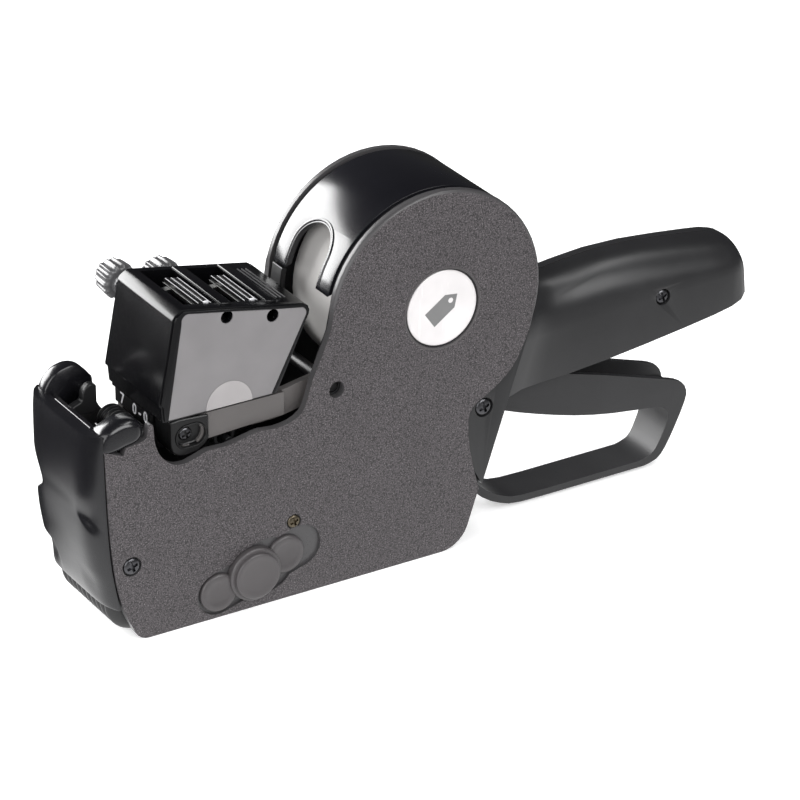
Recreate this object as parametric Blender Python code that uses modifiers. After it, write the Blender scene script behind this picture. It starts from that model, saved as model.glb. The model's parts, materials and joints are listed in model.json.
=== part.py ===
"""Price labeling gun, built as an assembly of separate pieces.

Frame: metres, +Z up. The origin is the centre of the flat base, on the mid-plane.
-X is the nose, where the labels come out. +X is the handle. -Y is the user's left side.
Rotations called "squeeze" turn about -Y, so the trigger's loop rises and the print head's nose drops.
"""
import math

import bmesh
import bpy
from mathutils import Matrix, Vector

MM = 0.001
GAP = 0.3 * MM

# Driving dimensions
ROLL_R = 36 * MM                      # roll housing, outer radius
ROLL_X = 46 * MM                      # roll axis
ROLL_Z = 2.30 * ROLL_R                # 82.8 mm above the base
HALF_W = 20 * MM                      # outside face of the side covers, from the mid-plane
COVER_T = 2.4 * MM                    # side cover wall
FRAME_T = 1.6 * MM                    # inner frame plate
REAR_TILT = math.radians(19)          # rear edge of the body, from the vertical
REAR_FOOT_X = 54.8 * MM               # where the rear edge would meet the base
HEAD_PIVOT = (11.7 * MM, 64.0 * MM)
TRIGGER_PIVOT = (63.0 * MM, 44.7 * MM)
FEED_AXIS = (14.0 * MM, 24.0 * MM)
APPLICATOR_AXIS = (-52.6 * MM, 11.0 * MM)
BASE_HINGE = (44.5 * MM, 4.2 * MM)
ROLL_COVER_HINGE = (77.5 * MM, 94.0 * MM)
DRIVE_ARM = 15 * MM                   # trigger pivot to drive pin
DRIVE_ARM_ANGLE = math.radians(248)
ROCKER_ARM = 5.2 * MM                 # feed axle to rocker pin
ROCKER_ARM_ANGLE = math.radians(270 - 21.6)
LATCH_TILT = math.radians(16)
LATCH_CENTRE = (-16.9 * MM, 11.4 * MM)
LATCH_LOBES = (-12.3 * MM, 11.3 * MM)  # lobe centres, along the latch's travel
LATCH_LOBE_R = 6.1 * MM
LATCH_BUTTON_R = 8.6 * MM
LATCH_TRAVEL = 5 * MM
HEAD_HALF_W = 16.4 * MM
HEAD_SLOPE = 0.19                     # fall of the head's top towards the rear
SELECTOR_AXES = ((-36.9 * MM, 94.2 * MM), (-21.8 * MM, 91.3 * MM))
TRIGGER_HALF_W = 8 * MM
BOSS_R = 4.2 * MM                     # bosses around the trigger's and the head's pivots
STRAP_TAPER = 0.16                    # share of its width that the loop loses down to the base
BADGE_CENTRE = (47.8 * MM, 81.4 * MM)
BADGE_R = 11.9 * MM
BADGE_SEAT_R = BADGE_R + 0.6 * MM
FRONT_SCREW = (-57.0 * MM, 24.8 * MM)
BRASS_SCREW = (-3.2 * MM, 24.6 * MM)
HANDLE_SCREW = (131.5 * MM, 61.9 * MM)
LUG_SCREW = (-36.3 * MM, 60.4 * MM)
PINCH_AXIS = (14.0 * MM, 5.9 * MM)
PLATE_HOLES = ((-22.6 * MM, 94.6 * MM), (-7.6 * MM, 91.4 * MM))
PLATE_HOLE_R = 2.0 * MM
BAND_AXES = ((-31.6 * MM, 85.0 * MM), (-17.6 * MM, 83.0 * MM))
ANVIL_PLACES = ((-34.2 * MM, 57.5 * MM), (-21.4 * MM, 53.8 * MM))
INK_PIVOT = (-49.5 * MM, 45.0 * MM)
INK_ROLLER_AXIS = (-47.4 * MM, 57.8 * MM)
APPLICATOR_R = 10.4 * MM
LABEL_ROLL_R = 30 * MM
CORE_R = 11.2 * MM
HANDLE_WALL = 2.4 * MM
SIDE_SHARE = 0.50                     # share of the handle section's height that is straight-sided
ROLL_COVER_T = 1.9 * MM
RATCHET_TEETH = 12
SEAT_DEPTH = 1.1 * MM                 # seats of the badge and the front screw in the cover
BRASS_SEAT_DEPTH = 0.8 * MM
LATCH_FLOOR_DEPTH = 1.0 * MM
PIN_R = 1.9 * MM                      # head pivot pin and feed axle
THIN_PIN_R = 1.1 * MM                 # the two cover hinge pins
TRIGGER_PIN_R = 2.5 * MM
PIN_HALF_LENGTH = 17.0 * MM
LABEL_HALF_W = 13 * MM

# Derived dimensions
COVER_IN = HALF_W - COVER_T           # inside face of a side cover
PLATE_OUT = COVER_IN - GAP            # outside face of a frame plate
PLATE_IN = PLATE_OUT - FRAME_T
ROLL_COVER_HALF_W = PLATE_IN - 0.1 * MM
HEAD_WALL = 2 * MM
HEAD_IN = HEAD_HALF_W - HEAD_WALL     # inside face of the head's side walls

COLOURS = {
    "cover": ((0.085, 0.082, 0.083), 0.75, 0.0),
    "frame": ((0.10, 0.10, 0.10), 0.45, 0.0),
    "gloss": ((0.012, 0.012, 0.014), 0.18, 0.0),
    "satin": ((0.30, 0.30, 0.31), 0.40, 0.2),
    "black": ((0.02, 0.02, 0.022), 0.45, 0.0),
    "knob": ((0.20, 0.20, 0.20), 0.35, 0.0),
    "steel": ((0.55, 0.55, 0.56), 0.30, 1.0),
    "brass": ((0.70, 0.55, 0.28), 0.35, 1.0),
    "badge": ((0.85, 0.84, 0.83), 0.30, 0.0),
    "rubber": ((0.03, 0.03, 0.03), 0.85, 0.0),
    "ink": ((0.05, 0.04, 0.10), 0.90, 0.0),
    "paper": ((0.88, 0.87, 0.84), 0.80, 0.0),
    "card": ((0.45, 0.36, 0.25), 0.90, 0.0),
    "zinc": ((0.62, 0.62, 0.60), 0.45, 1.0),
}


# ---------------------------------------------------------------- scene and material helpers

def clear_scene():
    """Empty the file of every object it starts with."""
    for obj in list(bpy.data.objects):
        bpy.data.objects.remove(obj, do_unlink=True)


def make_collection(name):
    collection = bpy.data.collections.new(name)
    bpy.context.scene.collection.children.link(collection)
    return collection


def make_material(name, look):
    """A Principled BSDF with the piece's own colour, roughness and metallic value."""
    colour, roughness, metallic = COLOURS[look]
    material = bpy.data.materials.new(name)
    material.use_nodes = True
    shader = material.node_tree.nodes["Principled BSDF"]
    shader.inputs["Base Color"].default_value = (*colour, 1.0)
    shader.inputs["Roughness"].default_value = roughness
    shader.inputs["Metallic"].default_value = metallic
    return material


clear_scene()
PARTS = make_collection("price_labeling_gun")
CUTTERS = make_collection("cutters")


def make_piece(name, mesh, look, pivot=None, smooth_angle=32):
    """Put a mesh in the parts collection; a moving piece gets its origin on its joint axis."""
    obj = bpy.data.objects.new(name, mesh)
    PARTS.objects.link(obj)
    if pivot is not None:
        px, pz = pivot
        mesh.transform(Matrix.Translation((-px, 0, -pz)))
        obj.location = (px, 0, pz)
    mesh.materials.clear()
    mesh.materials.append(make_material(name + "_material", look))
    mesh.shade_smooth()
    mesh.set_sharp_from_angle(angle=math.radians(smooth_angle))
    return obj


def combine(mesh, others, operation):
    """Boolean the other meshes onto a mesh, through hidden wire-frame guides."""
    base = bpy.data.objects.new("guide_base", mesh)
    CUTTERS.objects.link(base)
    for other in others:
        guide = bpy.data.objects.new("guide", other)
        guide.hide_render = True
        guide.display_type = "WIRE"
        CUTTERS.objects.link(guide)
        step = base.modifiers.new(operation.lower(), "BOOLEAN")
        step.operation = operation
        step.object = guide
        step.solver = "EXACT"
    result = evaluated_mesh(base)
    for obj in list(CUTTERS.objects):
        bpy.data.objects.remove(obj, do_unlink=True)
    return result


def evaluated_mesh(obj):
    """The mesh of an object with its modifiers applied, in world space and welded."""
    bpy.context.view_layer.update()
    graph = bpy.context.evaluated_depsgraph_get()
    mesh = bpy.data.meshes.new_from_object(obj.evaluated_get(graph))
    mesh.transform(obj.matrix_world)
    weld = bmesh.new()
    weld.from_mesh(mesh)
    bmesh.ops.remove_doubles(weld, verts=weld.verts, dist=0.002 * MM)
    bmesh.ops.dissolve_degenerate(weld, edges=weld.edges, dist=0.002 * MM)
    bmesh.ops.recalc_face_normals(weld, faces=weld.faces)
    weld.to_mesh(mesh)
    weld.free()
    return mesh


def cut(mesh, *cutters):
    return combine(mesh, cutters, "DIFFERENCE")


def join(mesh, *others):
    return combine(mesh, others, "UNION")


# ---------------------------------------------------------------- outline helpers, in the XZ plane

def polar(centre, radius, angle):
    return (centre[0] + radius * math.cos(angle), centre[1] + radius * math.sin(angle))


def arc(centre, radius, start_deg, end_deg, steps):
    """Points on an arc, both ends included."""
    span = end_deg - start_deg
    return [polar(centre, radius, math.radians(start_deg + span * i / steps)) for i in range(steps + 1)]


def circle(centre, radius, steps=24):
    return arc(centre, radius, 0, 360, steps)[:-1]


def capsule(a, b, radius, steps=8):
    """A stadium outline around the line from a to b."""
    heading = math.degrees(math.atan2(b[1] - a[1], b[0] - a[0]))
    return (arc(b, radius, heading - 90, heading + 90, steps)
            + arc(a, radius, heading + 90, heading + 270, steps))


def smooth(points, steps):
    """A Catmull-Rom curve through the points, in millimetres, returned in metres."""
    padded = [points[0], *points, points[-1]]
    curve = []
    for i in range(1, len(padded) - 2):
        p0, p1, p2, p3 = padded[i - 1:i + 3]
        for step in range(steps):
            t = step / steps
            curve.append(tuple(
                MM * 0.5 * (2 * p1[k] + (p2[k] - p0[k]) * t
                            + (2 * p0[k] - 5 * p1[k] + 4 * p2[k] - p3[k]) * t ** 2
                            + (3 * p1[k] - p0[k] - 3 * p2[k] + p3[k]) * t ** 3)
                for k in (0, 1)))
    curve.append((points[-1][0] * MM, points[-1][1] * MM))
    return curve


def line(*points):
    """Corner points given in millimetres, returned in metres."""
    return [(x * MM, z * MM) for x, z in points]


# ---------------------------------------------------------------- solid helpers

def plate(outline, y0, y1, holes=()):
    """A flat outline in XZ, thick from y0 to y1, as a filled 2D curve made into a mesh."""
    curve = bpy.data.curves.new("outline", "CURVE")
    curve.dimensions = "2D"
    curve.fill_mode = "BOTH"
    curve.extrude = abs(y1 - y0) / 2
    for loop in (outline, *holes):
        spline = curve.splines.new("POLY")
        spline.points.add(len(loop) - 1)
        for point, (x, z) in zip(spline.points, loop):
            point.co = (x, z, 0, 1)
        spline.use_cyclic_u = True
    obj = bpy.data.objects.new("outline", curve)
    obj.rotation_euler = (math.pi / 2, 0, 0)
    obj.location = (0, (y0 + y1) / 2, 0)
    CUTTERS.objects.link(obj)
    mesh = evaluated_mesh(obj)
    bpy.data.objects.remove(obj, do_unlink=True)
    return mesh


def rod(centre, radius, y0, y1, steps=20, radius_end=None):
    """A cylinder or cone along Y."""
    shape = bmesh.new()
    end = radius if radius_end is None else radius_end
    bmesh.ops.create_cone(shape, cap_ends=True, segments=steps, radius1=end, radius2=radius,
                          depth=abs(y1 - y0))
    mesh = bpy.data.meshes.new("rod")
    shape.to_mesh(mesh)
    shape.free()
    place = Matrix.Translation((centre[0], (y0 + y1) / 2, centre[1]))
    mesh.transform(place @ Matrix.Rotation(math.pi / 2, 4, "X"))
    return mesh


def box(x0, x1, y0, y1, z0, z1):
    """A box between two corners, in metres."""
    shape = bmesh.new()
    bmesh.ops.create_cube(shape, size=1)
    mesh = bpy.data.meshes.new("box")
    shape.to_mesh(mesh)
    shape.free()
    size = Matrix.Diagonal((x1 - x0, y1 - y0, z1 - z0, 1))
    mesh.transform(Matrix.Translation(((x0 + x1) / 2, (y0 + y1) / 2, (z0 + z1) / 2)) @ size)
    return mesh


def turned(profile, centre, steps=32):
    """A turned shape about an axis along Y: the profile is (y, radius), a closed loop around the wall."""
    count = len(profile)
    mesh = bpy.data.meshes.new("profile")
    edges = [(i, (i + 1) % count) for i in range(count)]
    mesh.from_pydata([(radius, 0, y) for y, radius in profile], edges, [])
    obj = bpy.data.objects.new("profile", mesh)
    lathe = obj.modifiers.new("lathe", "SCREW")
    lathe.axis = "Z"
    lathe.steps = steps
    lathe.render_steps = steps
    lathe.use_merge_vertices = True
    lathe.merge_threshold = 0.01 * MM
    obj.rotation_euler = (-math.pi / 2, 0, 0)
    obj.location = (centre[0], 0, centre[1])
    CUTTERS.objects.link(obj)
    result = evaluated_mesh(obj)
    bpy.data.objects.remove(obj, do_unlink=True)
    return result


def loft(sections):
    """A closed skin through equal-length sections of 3D points, capped at both ends."""
    shape = bmesh.new()
    rings = [[shape.verts.new(point) for point in section] for section in sections]
    count = len(rings[0])
    for ring, after in zip(rings, rings[1:]):
        for i in range(count):
            j = (i + 1) % count
            shape.faces.new((ring[i], ring[j], after[j], after[i]))
    shape.faces.new(rings[0])
    shape.faces.new(rings[-1])
    bmesh.ops.recalc_face_normals(shape, faces=shape.faces)
    mesh = bpy.data.meshes.new("loft")
    shape.to_mesh(mesh)
    shape.free()
    return mesh


def mirrored(mesh):
    """The same shape on the other side of the mid-plane."""
    copy = mesh.copy()
    copy.transform(Matrix.Diagonal((1, -1, 1, 1)))
    copy.flip_normals()
    return copy


def screw(name, centre, seat_y, head_r, length, look, pivot=None):
    """A pan-head cross-recess screw whose head sits on seat_y and points to -Y."""
    head_t = 0.55 * head_r
    shank_r = 0.5 * head_r
    top = seat_y - head_t
    head = rod(centre, head_r, top, seat_y, 20)
    shank = rod(centre, shank_r, seat_y - 0.2 * MM, seat_y + length, 12)
    arm, half = 0.62 * head_r, 0.13 * head_r
    depth = 0.5 * head_t
    x, z = centre
    slot_a = box(x - arm, x + arm, top - depth, top + depth, z - half, z + half)
    slot_b = box(x - half, x + half, top - depth, top + depth, z - arm, z + arm)
    return make_piece(name, cut(join(head, shank), slot_a, slot_b), look, pivot)


# ---------------------------------------------------------------- outlines shared by several pieces

def rear_edge_x(z, offset=0.0):
    """X of the slanted rear edge at a height."""
    return REAR_FOOT_X + offset + z * math.tan(REAR_TILT)


def base_rear_corner():
    """The rounded corner between the base and the rear edge."""
    radius = 10 * MM
    centre = (47.7 * MM, radius)
    return arc(centre, radius, -90, -19, 7)


def front_edge():
    """The front edge, from the top of the nose seam down to the base."""
    points = smooth([(-64.7, 63.6), (-64.3, 49), (-63.8, 36), (-62.2, 20), (-59.4, 9.4), (-56.6, 3.4)], 3)
    corner_r = 5 * MM
    corner = arc((-52 * MM, corner_r), corner_r, 205, 270, 4)
    return [(x, max(z, 0.0)) for x, z in points[:-1] + corner]


def horn_seat():
    """The stepped seat in the cover's front corner that the nose's horn lies in."""
    step = line((-64.7, 63.6), (-58.7, 61.1), (-57.7, 63.3))
    return step + smooth([(-53.0, 64.0), (-51.3, 64.6), (-50.6, 66.4)], 2)


def recess_edge():
    """The wavy upper edge in front of the roll housing, from the front post to the roll's rim."""
    post = smooth([(-50.6, 67.6), (-50.2, 68.7), (-49.4, 68.8), (-48.8, 67.6), (-48.6, 63.4), (-47.8, 60.1),
                   (-46.3, 57.3), (-44.0, 54.9), (-41.4, 53.6), (-38.6, 53.4)], 2)
    wave = smooth([(-38.6, 53.4), (-35.0, 54.4), (-31.0, 55.6), (-25.4, 55.4), (-19.0, 56.5), (-14.2, 57.3),
                   (-9.2, 56.8), (-4.0, 57.4), (0.0, 59.6), (1.9, 63.6), (3.8, 69.6), (7.4, 77.4),
                   (10.2, 84.5), (11.1, 91.5)], 2)
    return post[:-1] + wave


def rear_scallop(offset=0.0):
    """The cover's rear boundary, cut back around the frame's smooth lens-shaped cheek."""
    points = smooth([(79.8, 70.5), (75.0, 59.6), (70.2, 53.6), (64.0, 49.3), (58.9, 46.3), (57.1, 41.6),
                     (57.9, 31.5), (61.0, 18.0)], 2)
    return [(x + offset, z) for x, z in points]


def cover_outline():
    """Side cover, clockwise from the top front."""
    roll = arc((ROLL_X, ROLL_Z), ROLL_R, 166, -20, 31)
    corner = list(reversed(base_rear_corner()))
    front = list(reversed(front_edge()))
    return recess_edge()[:-1] + roll[:-1] + rear_scallop() + corner + front[:-1] + horn_seat()[:-1]


def frame_outline():
    """Frame plate: inside the cover, clear of the print head's sweep, and showing past its rear edge."""
    inset = 1.0 * MM
    roll = arc((ROLL_X, ROLL_Z), ROLL_R - inset, 160, -22, 26)
    rear = [(rear_edge_x(z * MM, 1.2 * MM), z * MM) for z in (64, 40, 16)]
    corner = [(x + 0.5 * MM, max(z, 0.4 * MM)) for x, z in reversed(base_rear_corner())]
    front = line((-40, 0.4), (-41, 14), (-50, 24), (-50, 36), (-44, 37.6), (4, 37.6), (6.2, 42))
    throat = smooth([(6.2, 42), (5.2, 56), (4.6, 64), (6.4, 72), (10.6, 82)], 3)
    return throat + roll + rear + corner + front[:-1]


# ---------------------------------------------------------------- housing

def build_side_cover(side):
    """Outer cover plate; side is -1 for the left (latch) cover and +1 for the right."""
    outer, inner = HALF_W, COVER_IN
    holes = [circle(HEAD_PIVOT, 2.6 * MM, 16)]
    solid = plate(cover_outline(), inner, outer, holes)
    cutters = [rod(BADGE_CENTRE, BADGE_SEAT_R, outer - SEAT_DEPTH, outer + MM, 40)]
    if side < 0:
        latch_floor = outer - LATCH_FLOOR_DEPTH
        button_room = capsule(LATCH_CENTRE, along_latch(LATCH_TRAVEL), LATCH_BUTTON_R + GAP, 12)
        cutters += [plate(latch_recess(), latch_floor, outer + MM)]
        cutters += [plate(button_room, latch_floor, outer + MM)]
        cutters += [plate(latch_slot(), inner - MM, outer + MM)]
        cutters += [rod(FRONT_SCREW, 3.1 * MM, outer - SEAT_DEPTH, outer + MM, 20)]
        cutters += [rod(FRONT_SCREW, 1.7 * MM, inner - MM, outer + MM, 16)]
        cutters += [rod(BRASS_SCREW, 2.4 * MM, outer - BRASS_SEAT_DEPTH, outer + MM, 20)]
        cutters += [rod(BRASS_SCREW, 1.35 * MM, inner - MM, outer + MM, 16)]
    solid = cut(solid, *cutters)
    name = "left_side_cover" if side < 0 else "right_side_cover"
    return make_piece(name, mirrored(solid) if side < 0 else solid, "cover")


def along_latch(distance):
    """A point on the latch's line of travel."""
    return polar(LATCH_CENTRE, distance, LATCH_TILT)


def latch_recess():
    """The shallow recess the lobes slide in, with room for the travel at its rear end."""
    front, rear = LATCH_LOBES
    rear_end = along_latch(rear + LATCH_TRAVEL + 0.1 * MM)
    return capsule(along_latch(front - GAP), rear_end, LATCH_LOBE_R + 0.8 * MM, 10)


def latch_slot():
    """The slot through the cover that the latch's stem slides in."""
    return capsule(along_latch(-4 * MM), along_latch(10 * MM), 1.7 * MM, 6)


# Stations of the handle: foot and crown of the section in millimetres, and its half width
HANDLE_STATIONS = (
    ((66.5, 43.0), (79.0, 76.0), 16.5),
    ((71.0, 43.6), (82.5, 76.6), 16.5),
    ((74.5, 43.9), (86.0, 76.3), 16.0),
    ((80.0, 44.0), (90.5, 75.6), 13.9),
    ((88.0, 44.0), (96.0, 75.4), 12.9),
    ((98.0, 44.3), (103.0, 76.3), 12.8),
    ((112.0, 45.8), (114.0, 77.1), 13.2),
    ((126.0, 47.6), (127.0, 76.8), 13.4),
    ((140.0, 49.5), (140.0, 75.5), 13.4),
    ((151.0, 51.0), (151.0, 74.2), 13.2),
    ((158.0, 52.2), (157.4, 73.3), 12.9),
    ((162.0, 53.3), (160.8, 72.3), 12.2),
    ((164.3, 54.8), (162.9, 70.8), 10.8),
    ((165.4, 57.0), (164.2, 68.6), 8.6),
)
HOLLOW_STATIONS = 10                  # how many of them the hollow runs through


def handle_section(foot, crown, half_w, inset=0.0, drop=0.0, steps=7):
    """One arch-shaped section, from the right foot over the crown to the left foot."""
    foot, crown = Vector((foot[0], 0, foot[1])) * MM, Vector((crown[0], 0, crown[1])) * MM
    rise = crown - foot
    height = rise.length
    up = rise / height
    start = foot - up * drop
    side = half_w * MM - inset
    crown_h = height - inset
    spring_h = SIDE_SHARE * height
    points = [start + Vector((0, side, 0))]
    for i in range(2 * steps + 1):
        a = math.pi * i / (2 * steps)
        level = spring_h + (crown_h - spring_h) * math.sin(a)
        points.append(foot + up * level + Vector((0, side * math.cos(a), 0)))
    points.append(start - Vector((0, side, 0)))
    return points


def handle_shell():
    """The hollow grip: an arch open at the bottom, so the trigger can rise into it."""
    outside = loft([handle_section(*station) for station in HANDLE_STATIONS])
    hollow = HANDLE_STATIONS[:HOLLOW_STATIONS]
    first_foot, first_crown, first_w = hollow[0]
    overrun = 4
    lead_in = ((first_foot[0] - overrun, first_foot[1]), (first_crown[0] - overrun, first_crown[1]), first_w)
    inner = [handle_section(foot, crown, half_w, HANDLE_WALL, overrun * MM)
             for foot, crown, half_w in (lead_in, *hollow)]
    return cut(outside, loft(inner))


def build_frame(side):
    """Inner frame half: plate, cheek, rear wall and one half of the grip."""
    handle = handle_shell()
    half = box(-0.1, 0.2, -0.1, GAP / 2, -0.1, 0.2)
    handle = cut(handle, half)
    overlap = 0.4 * MM
    rear_wall_in = 9.4 * MM
    body = plate(frame_outline(), PLATE_IN, PLATE_OUT)
    cheek_edge = rear_scallop(GAP)
    cheek_rear = [(rear_edge_x(z * MM, 1.2 * MM), z * MM) for z in (19, 32, 46, 60, 66)]
    cheek = plate(cheek_edge[1:-1] + cheek_rear, PLATE_IN + overlap, HALF_W - 0.5 * MM)
    rear_line = [(rear_edge_x(z * MM, 1.0 * MM), z * MM) for z in (9, 25, 41, 47)]
    rear_inner = [(x - 1.6 * MM, z) for x, z in reversed(rear_line)]
    rear_wall = plate(rear_line + rear_inner, rear_wall_in, PLATE_IN + 2 * overlap)
    boss = rod(TRIGGER_PIVOT, BOSS_R, TRIGGER_HALF_W + 0.6 * MM, PLATE_IN + overlap, 20)
    pivot_boss = rod(HEAD_PIVOT, BOSS_R, PLATE_OUT - overlap, PLATE_IN - GAP, 20)
    solid = join(body, handle, cheek, rear_wall, boss, pivot_boss)
    cutters = [rod(TRIGGER_PIVOT, TRIGGER_PIN_R + 0.1 * MM, TRIGGER_HALF_W, 18.4 * MM, 20)]
    for axis, pin_r, steps in ((HEAD_PIVOT, PIN_R, 18), (FEED_AXIS, PIN_R, 16),
                               (BASE_HINGE, THIN_PIN_R, 14), (ROLL_COVER_HINGE, THIN_PIN_R, 14)):
        cutters += [rod(axis, pin_r + 0.2 * MM, 10 * MM, 19 * MM, steps)]
    if side < 0:
        cutters += [rod(TRIGGER_PIVOT, 3.2 * MM, 18.2 * MM, 21 * MM, 20)]
        cutters += [rod(TRIGGER_PIVOT, 1.7 * MM, TRIGGER_HALF_W, 21 * MM, 14)]
        cutters += [rod(HANDLE_SCREW, 2.7 * MM, 12.0 * MM, 16 * MM, 18)]
        cutters += [rod(HANDLE_SCREW, 1.5 * MM, TRIGGER_HALF_W, 16 * MM, 14)]
        cutters += [rod(BRASS_SCREW, 1.35 * MM, 10 * MM, 19 * MM, 14)]
    solid = cut(solid, *cutters)
    name = "left_frame" if side < 0 else "right_frame"
    return make_piece(name, mirrored(solid) if side < 0 else solid, "frame")


# Stations of the nose, in millimetres: height, front at the middle, seam, corner scoop depth
NOSE_STATIONS = (
    (11.4, -64.3, -60.7, 0.4),
    (13.4, -65.0, -61.1, 1.0),
    (17.0, -66.2, -61.9, 2.0),
    (22.0, -67.2, -62.8, 2.6),
    (27.0, -68.6, -63.4, 1.2),
    (32.0, -70.0, -63.8, 0.4),
    (37.0, -70.3, -64.1, 1.4),
    (42.0, -69.8, -64.3, 3.0),
    (47.0, -69.9, -64.5, 2.2),
    (53.0, -70.2, -64.6, 0.8),
    (60.0, -70.0, -64.7, 0.3),
    (65.0, -69.2, -64.8, 0.2),
    (68.6, -67.4, -64.8, 0.2),
)
NOSE_STEPS = 16
NOSE_SQUARENESS = 7                   # a higher power keeps the front flatter and its corners tighter
SCOOP_PLACE = 0.80                    # shares of the half width
SCOOP_SPREAD = 0.16


def nose_section(height, front, seam, scoop):
    """One level of the nose: a bowed front with scooped corners and a flat back."""
    points = []
    for i in range(NOSE_STEPS + 1):
        t = 2 * i / NOSE_STEPS - 1
        across = math.sin(t * math.pi / 2)
        edge = abs(across) ** NOSE_SQUARENESS
        hollow = scoop * math.exp(-((abs(across) - SCOOP_PLACE) / SCOOP_SPREAD) ** 2)
        x = front + hollow + (seam - 0.8 - front) * edge
        points.append(Vector((x * MM, across * HALF_W, height * MM)))
    points.append(Vector((seam * MM - GAP, HALF_W, height * MM)))
    points.append(Vector((seam * MM - GAP, -HALF_W, height * MM)))
    return points


def horn_blank(side):
    """The nose's horn on one side, an arch that wraps back over the side cover's corner."""
    rise = 1.3 if side > 0 else -3.3      # the right horn stands taller than the left one
    crown = [(-66.5, 64.4), (-66.5, 67.4), (-65.2, 70.6), (-62.0, 73.2), (-58.2, 74.2), (-54.6, 73.4),
             (-52.1, 71.2), (-51.1, 69.0), (-51.1, 66.4), (-52.2, 64.6)]
    foot, top = 64.4, 74.2
    crown = [(x, z + rise * max(z - foot, 0) / (top - foot)) for x, z in crown]
    return smooth(crown, 2) + line((-57.9, 64.0), (-58.8, 61.8), (-64.6, 64.2))


def build_front_nose():
    """The sculpted cap that closes the front."""
    solid = loft([nose_section(*station) for station in NOSE_STATIONS])
    horns = [plate(horn_blank(side), side * 13.2 * MM, side * HALF_W) for side in (-1, 1)]
    tongue = box(-65.4 * MM, -62.4 * MM, -17.2 * MM, 17.2 * MM, 30 * MM, 66 * MM)
    wheel_room = rod(APPLICATOR_AXIS, APPLICATOR_R + 0.4 * MM, -15.6 * MM, 15.6 * MM, 32)
    return make_piece("front_nose", cut(join(solid, tongue, *horns), wheel_room), "gloss")


def build_badge(side):
    """A plain disc that fills its seat in the cover."""
    y_in, y_out = HALF_W - 0.8 * MM, HALF_W - 0.1 * MM
    name = "left_badge" if side < 0 else "right_badge"
    return make_piece(name, rod(BADGE_CENTRE, BADGE_R, side * y_in, side * y_out, 40), "badge")


def build_roll_hub(side):
    """A stub on each frame that the label core runs on."""
    name = "left_roll_hub" if side < 0 else "right_roll_hub"
    flange_in, flange_out = PLATE_IN - 1.7 * MM, PLATE_IN - 0.2 * MM
    tip = 9.0 * MM
    profile = [(flange_out, 3.0 * MM), (flange_out, 13 * MM), (flange_in, 13 * MM), (flange_in, 9.2 * MM),
               (tip, 8.8 * MM), (tip, 3.0 * MM)]
    mesh = turned(profile, (ROLL_X, ROLL_Z), 32)
    return make_piece(name, mirrored(mesh) if side < 0 else mesh, "black")


def build_platen():
    """The rubber block the type prints against."""
    outline = line((-36, 34), (-10, 34), (-10, 39.3), (-11, 40.2), (-35, 40.2), (-36, 39.3))
    return make_piece("platen", plate(outline, -15.2 * MM, 15.2 * MM), "rubber")


def build_label_guide():
    """A bent sheet that leads the label strip from the platen down the nose."""
    top = smooth([(-37.0, 40.2), (-44, 38.6), (-52, 34.5), (-57.6, 27.6)], 4)
    under = [(x + 0.5 * MM, z - 1.0 * MM) for x, z in reversed(top)]
    return make_piece("label_guide", plate(top + under, -14 * MM, 14 * MM), "zinc")


def build_peel_bar():
    """The sharp bar that turns the backing strip so the label peels off."""
    outline = line((-60.6, 25.4), (-58.4, 26.4), (-54.8, 25.6), (-55.2, 23.6), (-59.6, 23.4))
    return make_piece("peel_bar", plate(outline, -15 * MM, 15 * MM), "steel")


def build_guide_finger():
    """A small upright blade behind the nose that keeps the strip to one side."""
    outline = smooth([(-53.4, 71.4), (-55.4, 72.2), (-57.6, 70.6), (-58.2, 67.4)], 3)
    foot = line((-62.0, 66.0), (-62.0, 62.8), (-53.4, 62.8))
    return make_piece("strip_guide_finger", plate(outline + foot, 5.6 * MM, 8.4 * MM), "black")


def build_pins():
    """Fixed pins and axles of the housing."""
    half = PIN_HALF_LENGTH
    make_piece("head_pivot_pin", rod(HEAD_PIVOT, PIN_R, -half - 0.2 * MM, half + 0.2 * MM, 18), "steel")
    pin = rod(TRIGGER_PIVOT, TRIGGER_PIN_R, -15.6 * MM, 18.0 * MM, 18)
    bore = rod(TRIGGER_PIVOT, 1.5 * MM, -16 * MM, -6 * MM, 14)
    make_piece("trigger_pivot_pin", cut(pin, bore), "steel")
    make_piece("feed_axle", rod(FEED_AXIS, PIN_R, -half, half, 16), "steel")
    make_piece("base_hinge_pin", rod(BASE_HINGE, THIN_PIN_R, -half, half, 12), "steel")
    make_piece("roll_cover_hinge_pin", rod(ROLL_COVER_HINGE, THIN_PIN_R, -half, half, 12), "steel")
    make_piece("applicator_axle", rod(APPLICATOR_AXIS, 1.5 * MM, -half, half, 14), "steel")


def build_return_spring():
    """The trigger's coil spring around its pivot bosses, with one leg on the frame."""
    wire = 0.45 * MM
    turns, per_turn = 4, 10
    radius = 5.6 * MM
    start_y, pitch = -14.6 * MM, 1.25 * MM
    points = []
    for i in range(turns * per_turn + 1):
        a = 2 * math.pi * i / per_turn + math.radians(100)
        x, z = polar(TRIGGER_PIVOT, radius, a)
        points.append((x, start_y + pitch * i / per_turn, z))
    curve = bpy.data.curves.new("spring", "CURVE")
    curve.dimensions = "3D"
    curve.bevel_depth = wire
    curve.bevel_resolution = 0
    curve.use_fill_caps = True
    spline = curve.splines.new("POLY")
    spline.points.add(len(points) - 1)
    for target, point in zip(spline.points, points):
        target.co = (*point, 1)
    obj = bpy.data.objects.new("spring", curve)
    CUTTERS.objects.link(obj)
    mesh = evaluated_mesh(obj)
    bpy.data.objects.remove(obj, do_unlink=True)
    return make_piece("trigger_return_spring", mesh, "steel")


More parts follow.
